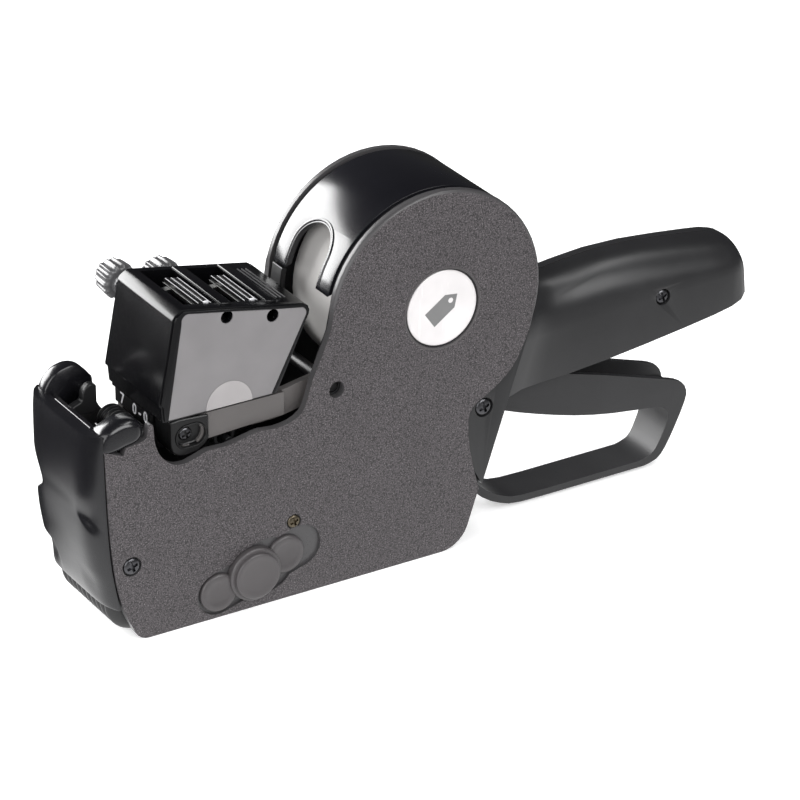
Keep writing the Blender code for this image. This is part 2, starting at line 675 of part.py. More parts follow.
def build_housing_screws():
    front_seat = -(HALF_W - SEAT_DEPTH) - 0.05 * MM
    brass_seat = -(HALF_W - BRASS_SEAT_DEPTH) - 0.05 * MM
    screw("left_front_screw", FRONT_SCREW, front_seat, 2.6 * MM, 3.6 * MM, "steel")
    screw("base_lock_screw", BRASS_SCREW, brass_seat, 2.0 * MM, 4.6 * MM, "brass")
    screw("trigger_pivot_screw", TRIGGER_PIVOT, -18.25 * MM, 2.6 * MM, 8 * MM, "steel")
    screw("handle_screw", HANDLE_SCREW, -12.05 * MM, 2.2 * MM, 4 * MM, "steel")


# ---------------------------------------------------------------- covers that open

def build_roll_cover():
    """The glossy hood over the label roll, with a finger notch in its front lip."""
    centre = (ROLL_X, ROLL_Z)
    outer = arc(centre, ROLL_R - 0.1 * MM, 165, 21, 28)
    inner = list(reversed(arc(centre, ROLL_R - ROLL_COVER_T, 163, 21, 28)))
    hood = plate(outer + inner, -ROLL_COVER_HALF_W, ROLL_COVER_HALF_W)
    lug = capsule(ROLL_COVER_HINGE, polar(centre, ROLL_R - 1.4 * MM, math.radians(26)), 2.3 * MM, 6)
    knuckle = plate(lug, -ROLL_COVER_HALF_W, ROLL_COVER_HALF_W)
    notch = finger_notch()
    bore = rod(ROLL_COVER_HINGE, 1.3 * MM, -0.02, 0.02, 14)
    return make_piece("roll_cover", cut(join(hood, knuckle), notch, bore), "gloss", ROLL_COVER_HINGE)


def finger_notch():
    """A U-shaped cutter that points at the roll's axis through the hood's front lip."""
    half, length = 8.6 * MM, 17 * MM
    outline = [(half, -length), (half, 0)]
    outline += [(half * math.cos(a), half * math.sin(a)) for a in (math.pi * i / 12 for i in range(1, 12))]
    outline += [(-half, 0), (-half, -length)]
    centre_angle = math.radians(151)
    out = Vector((math.cos(centre_angle), 0, math.sin(centre_angle)))
    up = Vector((math.sin(centre_angle), 0, -math.cos(centre_angle)))
    middle = Vector((ROLL_X, 0, ROLL_Z))
    sections = []
    for radius in (ROLL_R * 0.80, ROLL_R * 1.15):
        sections.append([middle + out * radius + up * v + Vector((0, u, 0)) for u, v in outline])
    return loft(sections)


def build_base_cover():
    """The floor plate, hinged at the rear, that opens to thread the labels."""
    thick = 1.8 * MM
    floor = line((-39.4, 0), (44.0, 0), (44.0, 1.8), (-39.4, 1.8))
    hinge = capsule(BASE_HINGE, (43.2 * MM, 1.7 * MM), 1.7 * MM, 6)
    ribs = [box(-34 * MM, 34 * MM, y - 0.6 * MM, y + 0.6 * MM, thick - 0.2 * MM, 3.4 * MM)
            for y in (-9 * MM, 9 * MM)]
    ears = [plate(capsule(PINCH_AXIS, (PINCH_AXIS[0], 2.4 * MM), 2.2 * MM, 6), y - 0.9 * MM, y + 0.9 * MM)
            for y in (-13.4 * MM, 13.4 * MM)]
    width = PLATE_IN - 0.4 * MM
    solid = join(plate(floor, -width, width), plate(hinge, -width, width), *ribs, *ears)
    bores = [rod(BASE_HINGE, 1.25 * MM, -0.02, 0.02, 14), rod(PINCH_AXIS, 1.15 * MM, -0.02, 0.02, 14)]
    clear = box(PINCH_AXIS[0] - 5 * MM, PINCH_AXIS[0] + 5 * MM, -12.2 * MM, 12.2 * MM, thick, 8 * MM)
    return make_piece("base_cover", cut(solid, *bores, clear), "frame", BASE_HINGE)


def build_pinch_roller():
    """The rubber roller on the base cover that presses the strip on the feed wheel."""
    half, bore, radius = 11.8 * MM, 1.15 * MM, 3.5 * MM
    roller = turned([(-half, bore), (-half, radius), (half, radius), (half, bore)], PINCH_AXIS, 20)
    make_piece("pinch_roller", roller, "rubber", PINCH_AXIS)
    make_piece("pinch_axle", rod(PINCH_AXIS, 1.05 * MM, -14.2 * MM, 14.2 * MM, 14), "steel", BASE_HINGE)


def build_latch():
    """The three-lobed slide that frees the base cover."""
    lobe_top = -(HALF_W + 0.5 * MM)
    base = -(HALF_W - LATCH_FLOOR_DEPTH) - 0.25 * MM
    lobes = [rod(along_latch(offset), LATCH_LOBE_R, lobe_top, base, 28) for offset in LATCH_LOBES]
    collar = rod(LATCH_CENTRE, LATCH_BUTTON_R, -(HALF_W + 1.6 * MM), base, 32, LATCH_BUTTON_R - 0.4 * MM)
    dome = rod(LATCH_CENTRE, 7.4 * MM, -(HALF_W + 2.9 * MM), -(HALF_W + 1.4 * MM), 32, 6.0 * MM)
    stem = rod(LATCH_CENTRE, 1.3 * MM, base - 0.3 * MM, -COVER_IN - 0.3 * MM, 12)
    return make_piece("latch_slider", join(collar, dome, stem, *lobes), "cover", LATCH_CENTRE)


# ---------------------------------------------------------------- trigger train

def trigger_outline():
    """Outside of the trigger, clockwise from its root above the pivot."""
    crown = smooth([(60.0, 51.2), (70, 50.2), (84.0, 46.6), (98.9, 41.9), (113.8, 37.6), (128.9, 32.8),
                    (139.6, 29.4)], 2)
    rear = smooth([(139.6, 29.4), (143.4, 27.6), (145.3, 24.4), (145.0, 20.6), (141.8, 12.5), (138.4, 5.6),
                   (135.4, 2.3), (131.0, 1.1)], 2)
    bottom = smooth([(131.0, 1.1), (104, 1.0), (85, 1.0), (77.5, 2.6), (70.5, 6.6), (64.4, 13.0),
                     (59.4, 21.4), (55.4, 30.4)], 2)
    return crown[:-1] + rear[:-1] + bottom


def trigger_inside():
    """Inside of the finger loop and the underside of the arm, back to the pivot."""
    strap = smooth([(59.4, 29.6), (62.4, 22.2), (66.6, 14.6), (72.2, 8.4), (78.6, 4.8), (85.6, 3.3),
                    (104, 3.2), (128.6, 3.3)], 2)
    bend = smooth([(128.6, 3.3), (133.2, 4.6), (136.0, 8.4), (138.8, 15.4), (138.4, 19.4), (134.0, 21.3)], 2)
    under = smooth([(134.0, 21.3), (117.7, 23.4), (103.5, 26.4), (89.4, 30.6), (78.2, 34.6), (70.4, 38.0)], 2)
    return strap[:-1] + bend[:-1] + under


def drive_pin_place():
    """Where the trigger's drive pin sits at rest."""
    return polar(TRIGGER_PIVOT, DRIVE_ARM, DRIVE_ARM_ANGLE)


def build_trigger():
    """The finger loop: a channel-shaped arm, and a band behind and below it back to the hub."""
    loop = trigger_outline() + trigger_inside() + line((66.4, 40.4))
    hub = circle(TRIGGER_PIVOT, 6.5 * MM, 24)
    arm = capsule(TRIGGER_PIVOT, drive_pin_place(), 3.6 * MM, 8)
    solid = join(plate(loop, -TRIGGER_HALF_W, TRIGGER_HALF_W), plate(hub, -TRIGGER_HALF_W, TRIGGER_HALF_W),
                 plate(arm, -TRIGGER_HALF_W, TRIGGER_HALF_W))
    channel_top = line((73.6, 56), (98.0, 54), (120, 46), (152, 36))
    channel_floor = line((152, 23.4)) + smooth([(142.4, 23.4), (134.0, 23.6), (117.7, 25.7), (103.5, 28.7),
                                                (89.4, 33.0), (79.0, 37.0), (73.6, 41.6)], 2)
    channel_half = TRIGGER_HALF_W - 2 * MM
    channel = plate(channel_top + channel_floor, -channel_half, channel_half)
    bore = rod(TRIGGER_PIVOT, TRIGGER_PIN_R + 0.1 * MM, -0.02, 0.02, 20)
    pin_hole = rod(drive_pin_place(), 1.75 * MM, -0.02, 0.02, 16)
    solid = cut(solid, channel, bore, pin_hole)
    taper_from = 26 * MM                  # height below which the loop narrows
    for vertex in solid.vertices:
        low = min(max((taper_from - vertex.co.z) / taper_from, 0.0), 1.0)
        vertex.co.y *= 1 - STRAP_TAPER * low
    make_piece("trigger", solid, "black", TRIGGER_PIVOT)
    pin = rod(drive_pin_place(), 1.6 * MM, -13.2 * MM, 12.8 * MM, 16)
    make_piece("drive_pin", pin, "steel", TRIGGER_PIVOT)


def link_bar(start, end, eye_r, bar_half, y0, y1, start_bore, end_bore):
    """A flat bar with a round eye at each end."""
    heading = math.degrees(math.atan2(end[1] - start[1], end[0] - start[0]))
    neck = math.degrees(math.asin(bar_half / eye_r))
    outline = arc(end, eye_r, heading - 180 + neck, heading + 180 - neck, 12)
    outline += arc(start, eye_r, heading + neck, heading + 360 - neck, 12)
    return plate(outline, y0, y1, [circle(start, start_bore, 16), circle(end, end_bore, 16)])


def head_lug_place():
    """The head's drive lug, on an arm parallel and equal to the trigger's."""
    return polar(HEAD_PIVOT, DRIVE_ARM, DRIVE_ARM_ANGLE)


def rocker_pin_place():
    """Where the feed rocker's pin sits at rest."""
    return polar(FEED_AXIS, ROCKER_ARM, ROCKER_ARM_ANGLE)


def build_links():
    """The pull bar to the print head and the pull rod to the feed rocker."""
    bar = link_bar(drive_pin_place(), head_lug_place(), 2.6 * MM, 2.2 * MM, -12.6 * MM, -10.8 * MM,
                   1.7 * MM, 2.0 * MM)
    make_piece("head_link", bar, "zinc", drive_pin_place())
    rod_mesh = link_bar(drive_pin_place(), rocker_pin_place(), 2.6 * MM, 1.8 * MM, 10.4 * MM, 12.2 * MM,
                        1.7 * MM, 1.9 * MM)
    make_piece("feed_link", rod_mesh, "zinc", drive_pin_place())


# ---------------------------------------------------------------- feed

def toothed(centre, tip_r, root_r, teeth):
    """A wheel outline with flat-topped teeth."""
    points = []
    pitch = 2 * math.pi / teeth
    for i in range(teeth):
        for radius, share in ((root_r, 0.0), (tip_r, 0.30), (tip_r, 0.62), (root_r, 0.92)):
            points.append(polar(centre, radius, pitch * (i + share)))
    return points


def ratchet_outline():
    """A saw-toothed outline: each tooth rises steeply and falls away to the next."""
    points = []
    for i in range(RATCHET_TEETH):
        base = 2 * math.pi * i / RATCHET_TEETH
        points.append(polar(FEED_AXIS, 8.0 * MM, base))
        points.append(polar(FEED_AXIS, 10.2 * MM, base + 0.06))
    return points


def build_feed():
    """The toothed feed wheel, its ratchet, and the rocker with its pawl."""
    bore = PIN_R + 0.1 * MM
    hub_hole = [circle(FEED_AXIS, bore, 16)]
    wheel = plate(toothed(FEED_AXIS, 14 * MM, 11.8 * MM, 12), -4 * MM, 4 * MM, hub_hole)
    flank = plate(circle(FEED_AXIS, 11.4 * MM, 28), -8.2 * MM, -3.8 * MM, hub_hole)
    make_piece("feed_wheel", join(wheel, flank), "black", FEED_AXIS)
    make_piece("ratchet_wheel", plate(ratchet_outline(), 4.3 * MM, 6.1 * MM, hub_hole), "steel", FEED_AXIS)
    rocker_arm = capsule(FEED_AXIS, rocker_pin_place(), 3.6 * MM, 8)
    carrier = capsule(FEED_AXIS, pawl_pivot_place(), 3.4 * MM, 8)
    rocker = join(plate(rocker_arm, 8.4 * MM, 10.0 * MM), plate(carrier, 8.4 * MM, 10.0 * MM),
                  rod(rocker_pin_place(), 1.5 * MM, 9.8 * MM, 12.8 * MM, 14),
                  rod(pawl_pivot_place(), 1.2 * MM, 6.6 * MM, 8.6 * MM, 14))
    rocker = cut(rocker, rod(FEED_AXIS, bore, 0, 0.02, 16))
    make_piece("feed_rocker", rocker, "zinc", FEED_AXIS)
    pawl = plate(pawl_outline(), 6.5 * MM, 8.1 * MM, [circle(pawl_pivot_place(), 1.3 * MM, 14)])
    nose = plate(pawl_tip(), 4.5 * MM, 6.9 * MM)
    make_piece("feed_pawl", join(pawl, nose), "steel", pawl_pivot_place())


def pawl_pivot_place():
    """Where the pawl turns on the rocker's second arm."""
    return polar(FEED_AXIS, 14.4 * MM, math.radians(62))


def pawl_outline():
    """The pawl's arm, from its pivot to just beyond the ratchet's rim."""
    tip = polar(FEED_AXIS, 11.9 * MM, math.radians(96))
    return capsule(pawl_pivot_place(), tip, 2.2 * MM, 6)


def pawl_tip():
    """The pawl's round nose, which rests on the ratchet's teeth."""
    return circle(polar(FEED_AXIS, 12.1 * MM, math.radians(98)), 1.2 * MM, 10)


# ---------------------------------------------------------------- labels and applicator

def build_label_roll():
    half = LABEL_HALF_W
    centre = (ROLL_X, ROLL_Z)
    paper_in = CORE_R + 0.1 * MM
    paper = [(-half, paper_in), (-half, LABEL_ROLL_R), (half, LABEL_ROLL_R), (half, paper_in)]
    core = [(-half, 9.7 * MM), (-half, CORE_R), (half, CORE_R), (half, 9.7 * MM)]
    make_piece("label_roll", turned(paper, centre, 48), "paper", centre)
    make_piece("label_core", turned(core, centre, 32), "card", centre)


def build_applicator():
    """The soft ribbed roller that presses the label on the goods."""
    ribs, pitch = 10, 3.0 * MM
    start = -ribs * pitch / 2
    profile = [(start, 1.7 * MM)]
    for i in range(ribs):
        y = start + i * pitch
        profile += [(y + 0.2 * MM, APPLICATOR_R - 1.2 * MM), (y + 1.5 * MM, APPLICATOR_R)]
    profile += [(-start, APPLICATOR_R - 1.2 * MM), (-start, 1.7 * MM)]
    make_piece("applicator_roller", turned(profile, APPLICATOR_AXIS, 16), "rubber", APPLICATOR_AXIS)


# ---------------------------------------------------------------- print head

def head_top_z(x):
    """Height of the head's sloping top at an x, in millimetres."""
    return 100.0 - HEAD_SLOPE * (x + 36.0)


def head_outline():
    """Side view of the head housing, clockwise from the lower front."""
    front = line((-43.9, 66.2), (-44.3, 71.2), (-45.0, 71.9), (-39.9, 97.8), (-38.8, 99.2), (-36.4, 100.1))
    rear = line((2.6, head_top_z(2.6)), (4.6, head_top_z(4.6) - 1.2), (4.8, 89.6), (-6.4, 66.2))
    return front + rear


def head_inside():
    """Side view of the head's hollow, which is open below."""
    front = line((-39.4, 60), (-38.8, 94.6), (-36.4, 98.0))
    return front + line((1.4, head_top_z(1.4) - 2.0), (2.4, 89.4), (-9.4, 60))


def build_head_housing():
    """The black box of the print head: open below, with two slots on top for the index bars."""
    shell = plate(head_outline(), -HEAD_HALF_W, HEAD_HALF_W)
    hollow = plate(head_inside(), -HEAD_IN, HEAD_IN)
    lip = plate(line((-41.4, 61.8), (-39.9, 61.8), (-39.9, 67), (-41.4, 67)), -7.2 * MM, 12.4 * MM)
    windows = [box(x0 * MM, x1 * MM, -9.8 * MM, 14.2 * MM, 90 * MM, 102 * MM)
               for x0, x1 in ((-34.2, -23.4), (-18.8, -8.4))]
    cutters = [hollow, *windows]
    for axis in SELECTOR_AXES:
        cutters.append(rod(axis, 2.0 * MM, 10 * MM, 18 * MM, 16))
        cutters.append(rod(axis, 2.9 * MM, 1.8 * MM, HEAD_IN, 16))
    for axis in PLATE_HOLES:
        cutters.append(rod(axis, PLATE_HOLE_R, -18 * MM, -12 * MM, 16))
    for axis in BAND_AXES:
        cutters.append(rod(axis, 1.65 * MM, -18 * MM, 18 * MM, 14))
    solid = cut(join(shell, lip), *cutters)
    return make_piece("head_housing", solid, "black", HEAD_PIVOT)


def build_head_side_plate(side):
    """A thin cheek that follows the head's side view, with round upper corners."""
    forward = 2.2 if side > 0 else 0.0    # the right plate reaches round the front selector's shaft
    outline = line((-8.4, 66.5), (-41.5 - 0.8 * forward, 66.5), (-37.3 - forward, 95.6))
    outline += arc(((-35.1 - forward) * MM, 96.4 * MM), 2.2 * MM, 165, 90, 4)
    outline += arc((1.6 * MM, 89.8 * MM), 1.9 * MM, 80, -20, 5)
    solid = plate(outline, HEAD_HALF_W + 0.1 * MM, HEAD_HALF_W + 0.7 * MM)
    if side < 0:
        holes = [plate(circle(hole, PLATE_HOLE_R, 16), -18 * MM, -15 * MM) for hole in PLATE_HOLES]
        solid = cut(mirrored(solid), *holes)
    else:
        solid = cut(solid, *[rod(axis, 2.0 * MM, 15 * MM, 18 * MM, 16) for axis in SELECTOR_AXES])
    name = "left_head_plate" if side < 0 else "right_head_plate"
    return make_piece(name, solid, "satin", HEAD_PIVOT)


def carrier_outline():
    """The arm below the head on each side, from the front lug back to the pivot."""
    lower = smooth([(-41.4, 65.8), (-41.6, 57.6), (-40.2, 54.8), (-37, 54.0), (-32.6, 54.8), (-29.6, 57.0),
                    (-22, 57.6), (-12, 57.2), (-4, 57.6), (1.0, 58.6)], 2)
    pivot = arc(HEAD_PIVOT, 4.6 * MM, -120, 90, 8)
    return lower + pivot + line((4.0, 67.2), (-4, 65.8))


def build_head_carrier():
    """Two side arms joined by a front bar; they hold the head and turn on the pivot pin."""
    arm = plate(carrier_outline(), 12.8 * MM, 15.0 * MM)
    drive = plate(capsule(HEAD_PIVOT, head_lug_place(), 3.4 * MM, 8), -15.0 * MM, -13.0 * MM)
    lug_pin = rod(head_lug_place(), 1.6 * MM, -13.2 * MM, -10.4 * MM, 16)
    face_outline = line((-41.3, 65.8), (-41.3, 57), (-39, 54.6), (-33, 54.6), (-30, 57.4), (-16, 58.2),
                        (-4, 58.6), (-4, 65.8))
    face = plate(face_outline, 14.8 * MM, HEAD_HALF_W)
    bar = box(-39.5 * MM, -38.0 * MM, -15 * MM, 15 * MM, 63.0 * MM, 65.6 * MM)
    cross = box(-9.2 * MM, -6.4 * MM, -15 * MM, 15 * MM, 60.0 * MM, 65.4 * MM)
    lug = box(-41.2 * MM, -38.9 * MM, 0.3 * MM - HEAD_HALF_W, -7.6 * MM, 56.2 * MM, 65.6 * MM)
    solid = join(arm, mirrored(arm), face, mirrored(face), bar, cross, lug, drive, lug_pin)
    pocket_front = (LUG_SCREW[0] - 0.6 * MM, LUG_SCREW[1])
    pocket_rear = (LUG_SCREW[0] + 1.6 * MM, LUG_SCREW[1] + 0.3 * MM)
    pocket = plate(capsule(pocket_front, pocket_rear, 3.4 * MM, 8), -17 * MM, -15.0 * MM)
    bores = [rod(HEAD_PIVOT, 2.0 * MM, -0.02, 0.02, 18), rod(LUG_SCREW, 1.2 * MM, -17 * MM, -11 * MM, 12)]
    for place in ANVIL_PLACES:
        bores.append(rod(place, 1.35 * MM, -18 * MM, 18 * MM, 12))
    return make_piece("head_carrier", cut(solid, pocket, *bores), "satin", HEAD_PIVOT)


def build_type_bands():
    """Rubber type bands: each line is a belt from its drive axle down to the anvil."""
    for name, top, low in zip(("front_type_bands", "rear_type_bands"), BAND_AXES, ANVIL_PLACES):
        outer = band_loop(top, low, 4.6 * MM, 3.4 * MM)
        inner = band_loop(top, low, 3.5 * MM, 2.3 * MM)
        make_piece(name, plate(outer, -11.6 * MM, 11.6 * MM, [inner]), "rubber", HEAD_PIVOT)
    for name, top in zip(("front_band_axle", "rear_band_axle"), BAND_AXES):
        spool = rod(top, 3.2 * MM, -11.4 * MM, 11.4 * MM, 16)
        axle = rod(top, 1.5 * MM, -15.8 * MM, 15.8 * MM, 12)
        make_piece(name, join(spool, axle), "zinc", HEAD_PIVOT)
    for name, low in zip(("front_anvil", "rear_anvil"), ANVIL_PLACES):
        make_piece(name, rod(low, 1.2 * MM, -14.6 * MM, 14.6 * MM, 12), "steel", HEAD_PIVOT)


def band_loop(top, low, top_r, low_r):
    """A belt outline around two round ends of different radius."""
    heading = math.degrees(math.atan2(top[1] - low[1], top[0] - low[0]))
    return arc(top, top_r, heading - 86, heading + 86, 8) + arc(low, low_r, heading + 94, heading + 266, 8)


def build_selectors():
    """Each selector: a fluted knob and shaft that turn, and an index bar that follows its pull."""
    for prefix, axis in zip(("front", "rear"), SELECTOR_AXES):
        bar_x = axis[0] + 10.0 * MM
        top = head_top_z(bar_x / MM) * MM
        bar = box(bar_x - 2.2 * MM, bar_x + 2.2 * MM, -9.0 * MM, 8.4 * MM, top - 2.6 * MM, top - 0.6 * MM)
        web_y0, web_y1 = 4.0 * MM, 6.4 * MM
        web = box(axis[0] + 1.0 * MM, bar_x + 1.0 * MM, web_y0, web_y1, axis[1] - 1.4 * MM, top - 1.6 * MM)
        web_collar = rod(axis, 2.6 * MM, web_y0, web_y1, 18)
        slider = join(bar, web, web_collar)
        slider = cut(slider, rod(axis, 1.65 * MM, 0, 0.02, 14))
        make_piece(prefix + "_index_bar", slider, "zinc", axis)
        make_piece(prefix + "_selector_knob", selector_knob(axis), "knob", axis)


def selector_knob(axis):
    """A fluted knob on a shaft with a collar on each side of the index bar's fork."""
    flutes, mean, depth = 14, 5.0 * MM, 0.35 * MM
    outline = []
    for i in range(flutes * 2):
        a = math.pi * i / flutes
        outline.append(polar(axis, mean + depth * math.cos(flutes * a), a))
    knob = plate(outline, 19.6 * MM, 28.0 * MM)
    neck = rod(axis, 3.4 * MM, 17.6 * MM, 19.8 * MM, 18)
    shaft = rod(axis, 1.5 * MM, -2.0 * MM, 18.0 * MM, 14)
    collars = [rod(axis, 2.2 * MM, y, y + 1.2 * MM, 14) for y in (2.4 * MM, 6.8 * MM)]
    return join(knob, neck, shaft, *collars)


def build_ink():
    """The ink roller in its ribbed shell, on an arm hinged inside the nose."""
    arm = capsule(INK_PIVOT, INK_ROLLER_AXIS, 2.1 * MM, 8)
    arms = [plate(arm, y, y + 1.4 * MM) for y in (-12.4 * MM, 11.0 * MM)]
    tie = rod(INK_PIVOT, 2.0 * MM, -12.4 * MM, 12.4 * MM, 16)
    bores = [rod(axis, 1.1 * MM, -0.02, 0.02, 12) for axis in (INK_PIVOT, INK_ROLLER_AXIS)]
    make_piece("ink_arm", cut(join(*arms, tie), *bores), "black", INK_PIVOT)
    make_piece("ink_arm_pin", rod(INK_PIVOT, 1.0 * MM, -17.0 * MM, 17.0 * MM, 12), "steel")
    ribs, pitch = 8, 2.6 * MM
    start = -ribs * pitch / 2
    profile = [(start, 1.1 * MM)]
    for i in range(ribs):
        y = start + i * pitch
        profile += [(y + 0.1 * MM, 3.9 * MM), (y + 1.3 * MM, 4.5 * MM)]
    profile += [(-start, 3.9 * MM), (-start, 1.1 * MM)]
    make_piece("ink_roller", turned(profile, INK_ROLLER_AXIS, 14), "ink", INK_ROLLER_AXIS)
    axle = rod(INK_ROLLER_AXIS, 1.0 * MM, -12.6 * MM, 12.6 * MM, 12)
    make_piece("ink_roller_axle", axle, "steel", INK_PIVOT)


def build_head():
    """Everything that swings with the print head, and the ink roller that waits in the nose."""
    build_head_housing()
    for side in (-1, 1):
        build_head_side_plate(side)
    build_head_carrier()
    build_type_bands()
    build_selectors()
    screw("head_lug_screw", LUG_SCREW, -15.05 * MM, 2.0 * MM, 2.2 * MM, "steel", HEAD_PIVOT)
    build_ink()


def build_housing():
    """The fixed body."""
    for side in (-1, 1):
        build_side_cover(side)
        build_frame(side)
        build_badge(side)
        build_roll_hub(side)
    build_front_nose()
    build_platen()
    build_label_guide()
    build_peel_bar()
    build_guide_finger()
    build_pins()
    build_return_spring()
    build_housing_screws()


def build_all():
    build_housing()
    build_roll_cover()
    build_base_cover()
    build_pinch_roller()
    build_latch()
    build_trigger()
    build_links()
    build_feed()
    build_label_roll()
    build_applicator()
    build_head()


build_all()
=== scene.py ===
"""Looks for the price labeling gun: fine surfaces, materials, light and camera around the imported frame.

Metres, +Z up. -X is the nose, +X the handle, -Y the left side with the latch.
"""

import json
import math

import bmesh
import bpy
from mathutils import Matrix, Vector


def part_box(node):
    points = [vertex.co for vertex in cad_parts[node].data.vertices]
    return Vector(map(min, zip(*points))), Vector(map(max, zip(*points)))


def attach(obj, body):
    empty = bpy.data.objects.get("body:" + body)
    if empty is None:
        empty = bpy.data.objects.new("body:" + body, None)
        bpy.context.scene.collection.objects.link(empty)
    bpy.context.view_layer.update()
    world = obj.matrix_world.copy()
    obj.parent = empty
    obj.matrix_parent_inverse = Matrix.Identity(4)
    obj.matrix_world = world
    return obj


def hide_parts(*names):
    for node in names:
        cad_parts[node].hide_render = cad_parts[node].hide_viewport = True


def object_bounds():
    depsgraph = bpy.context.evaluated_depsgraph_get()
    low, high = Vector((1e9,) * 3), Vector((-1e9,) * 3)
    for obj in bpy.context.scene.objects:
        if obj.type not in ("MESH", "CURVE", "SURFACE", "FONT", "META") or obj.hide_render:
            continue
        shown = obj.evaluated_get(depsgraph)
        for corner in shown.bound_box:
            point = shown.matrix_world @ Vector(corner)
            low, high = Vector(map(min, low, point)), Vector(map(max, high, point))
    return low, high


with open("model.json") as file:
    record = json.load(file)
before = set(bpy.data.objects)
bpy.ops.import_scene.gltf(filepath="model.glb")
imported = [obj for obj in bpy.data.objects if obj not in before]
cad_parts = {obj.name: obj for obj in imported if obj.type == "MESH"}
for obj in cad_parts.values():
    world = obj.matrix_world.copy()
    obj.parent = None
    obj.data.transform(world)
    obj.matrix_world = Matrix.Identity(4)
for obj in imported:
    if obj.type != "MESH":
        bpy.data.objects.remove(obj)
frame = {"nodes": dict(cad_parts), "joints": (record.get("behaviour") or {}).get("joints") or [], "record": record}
CAD_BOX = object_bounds()

MM = 0.001
JOINTS = {joint["name"]: joint for joint in frame["joints"]}


def axis_place(joint):
    """(x, z) of a joint's axis along Y."""
    place = JOINTS[joint]["pos_m"]
    return place[0], place[2]


ROLL_AXIS = axis_place("label_roll_spin")
BODY_OF = {node: body for body, nodes in frame["record"]["behaviour"]["bodies"].items() for node in nodes}
HALF_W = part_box("right_side_cover")[1].y
ROLL_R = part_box("left_side_cover")[1].z - ROLL_AXIS[1]


# ---------------------------------------------------------------- materials

def srgb(red, green, blue):
    """An 8-bit colour as linear light, with alpha."""
    channels = []
    for value in (red, green, blue):
        share = value / 255
        channels.append(share / 12.92 if share <= 0.04045 else ((share + 0.055) / 1.055) ** 2.4)
    return (*channels, 1.0)


def tinted(colour, share, lift=0.0):
    """A colour made darker or lighter by a factor, plus a small lift, with full alpha."""
    return tuple(min(channel * share + lift, 1.0) for channel in colour[:3]) + (1.0,)


class Look:
    """One procedural material, built node by node in the piece's own coordinates."""

    def __init__(self, name):
        self.material = bpy.data.materials.new(name)
        self.material.use_nodes = True
        self.nodes = self.material.node_tree.nodes
        self.links = self.material.node_tree.links
        self.shader = self.nodes["Principled BSDF"]
        self.place = self.nodes.new("ShaderNodeTexCoord").outputs["Object"]

    def feed(self, socket, value):
        """Give a socket a value, or link it to another node's output."""
        if isinstance(value, bpy.types.NodeSocket):
            self.links.new(value, socket)
        else:
            socket.default_value = value

    def set(self, **values):
        for name, value in values.items():
            self.feed(self.shader.inputs[name.replace("_", " ")], value)

    def stretched(self, scale):
        mapping = self.nodes.new("ShaderNodeMapping")
        self.links.new(self.place, mapping.inputs["Vector"])
        mapping.inputs["Scale"].default_value = scale
        return mapping.outputs["Vector"]

    def noise(self, scale, detail=2.0, roughness=0.5, stretch=None):
        made = self.nodes.new("ShaderNodeTexNoise")
        self.links.new(self.stretched(stretch) if stretch else self.place, made.inputs["Vector"])
        made.inputs["Scale"].default_value = scale
        made.inputs["Detail"].default_value = detail
        made.inputs["Roughness"].default_value = roughness
        return made.outputs["Fac"]

    def cells(self, scale, smoothness=0.6):
        made = self.nodes.new("ShaderNodeTexVoronoi")
        made.feature = "SMOOTH_F1"
        self.links.new(self.place, made.inputs["Vector"])
        made.inputs["Scale"].default_value = scale
        made.inputs["Smoothness"].default_value = smoothness
        return made.outputs["Distance"]

    def span(self, value, low, high, to_low=0.0, to_high=1.0):
        """Map a range onto another, clamped."""
        made = self.nodes.new("ShaderNodeMapRange")
        self.links.new(value, made.inputs["Value"])
        for socket, number in zip(("From Min", "From Max", "To Min", "To Max"), (low, high, to_low, to_high)):
            made.inputs[socket].default_value = number
        return made.outputs["Result"]

    def mix(self, share, first, second):
        made = self.nodes.new("ShaderNodeMix")
        made.data_type = "RGBA"
        self.feed(made.inputs["Factor"], share)
        self.feed(made.inputs[6], first)
        self.feed(made.inputs[7], second)
        return made.outputs[2]

    def along(self, axis):
        """One coordinate of the piece, in metres."""
        made = self.nodes.new("ShaderNodeSeparateXYZ")
        self.links.new(self.place, made.inputs["Vector"])
        return made.outputs[axis]

    def math(self, operation, first, second):
        made = self.nodes.new("ShaderNodeMath")
        made.operation = operation
        self.feed(made.inputs[0], first)
        self.feed(made.inputs[1], second)
        return made.outputs[0]

    def edges(self, radius):
        """1 on convex and concave edges, 0 on open faces."""
        rounded = self.nodes.new("ShaderNodeBevel")
        rounded.samples = 4
        rounded.inputs["Radius"].default_value = radius
        flat = self.nodes.new("ShaderNodeNewGeometry")
        dot = self.nodes.new("ShaderNodeVectorMath")
        dot.operation = "DOT_PRODUCT"
        self.links.new(rounded.outputs["Normal"], dot.inputs[0])
        self.links.new(flat.outputs["Normal"], dot.inputs[1])
        return self.span(dot.outputs["Value"], 0.97, 0.80)

    def bump(self, height, distance, strength):
        made = self.nodes.new("ShaderNodeBump")
        made.inputs["Strength"].default_value = strength
        made.inputs["Distance"].default_value = distance
        self.links.new(height, made.inputs["Height"])
        return made.outputs["Normal"]


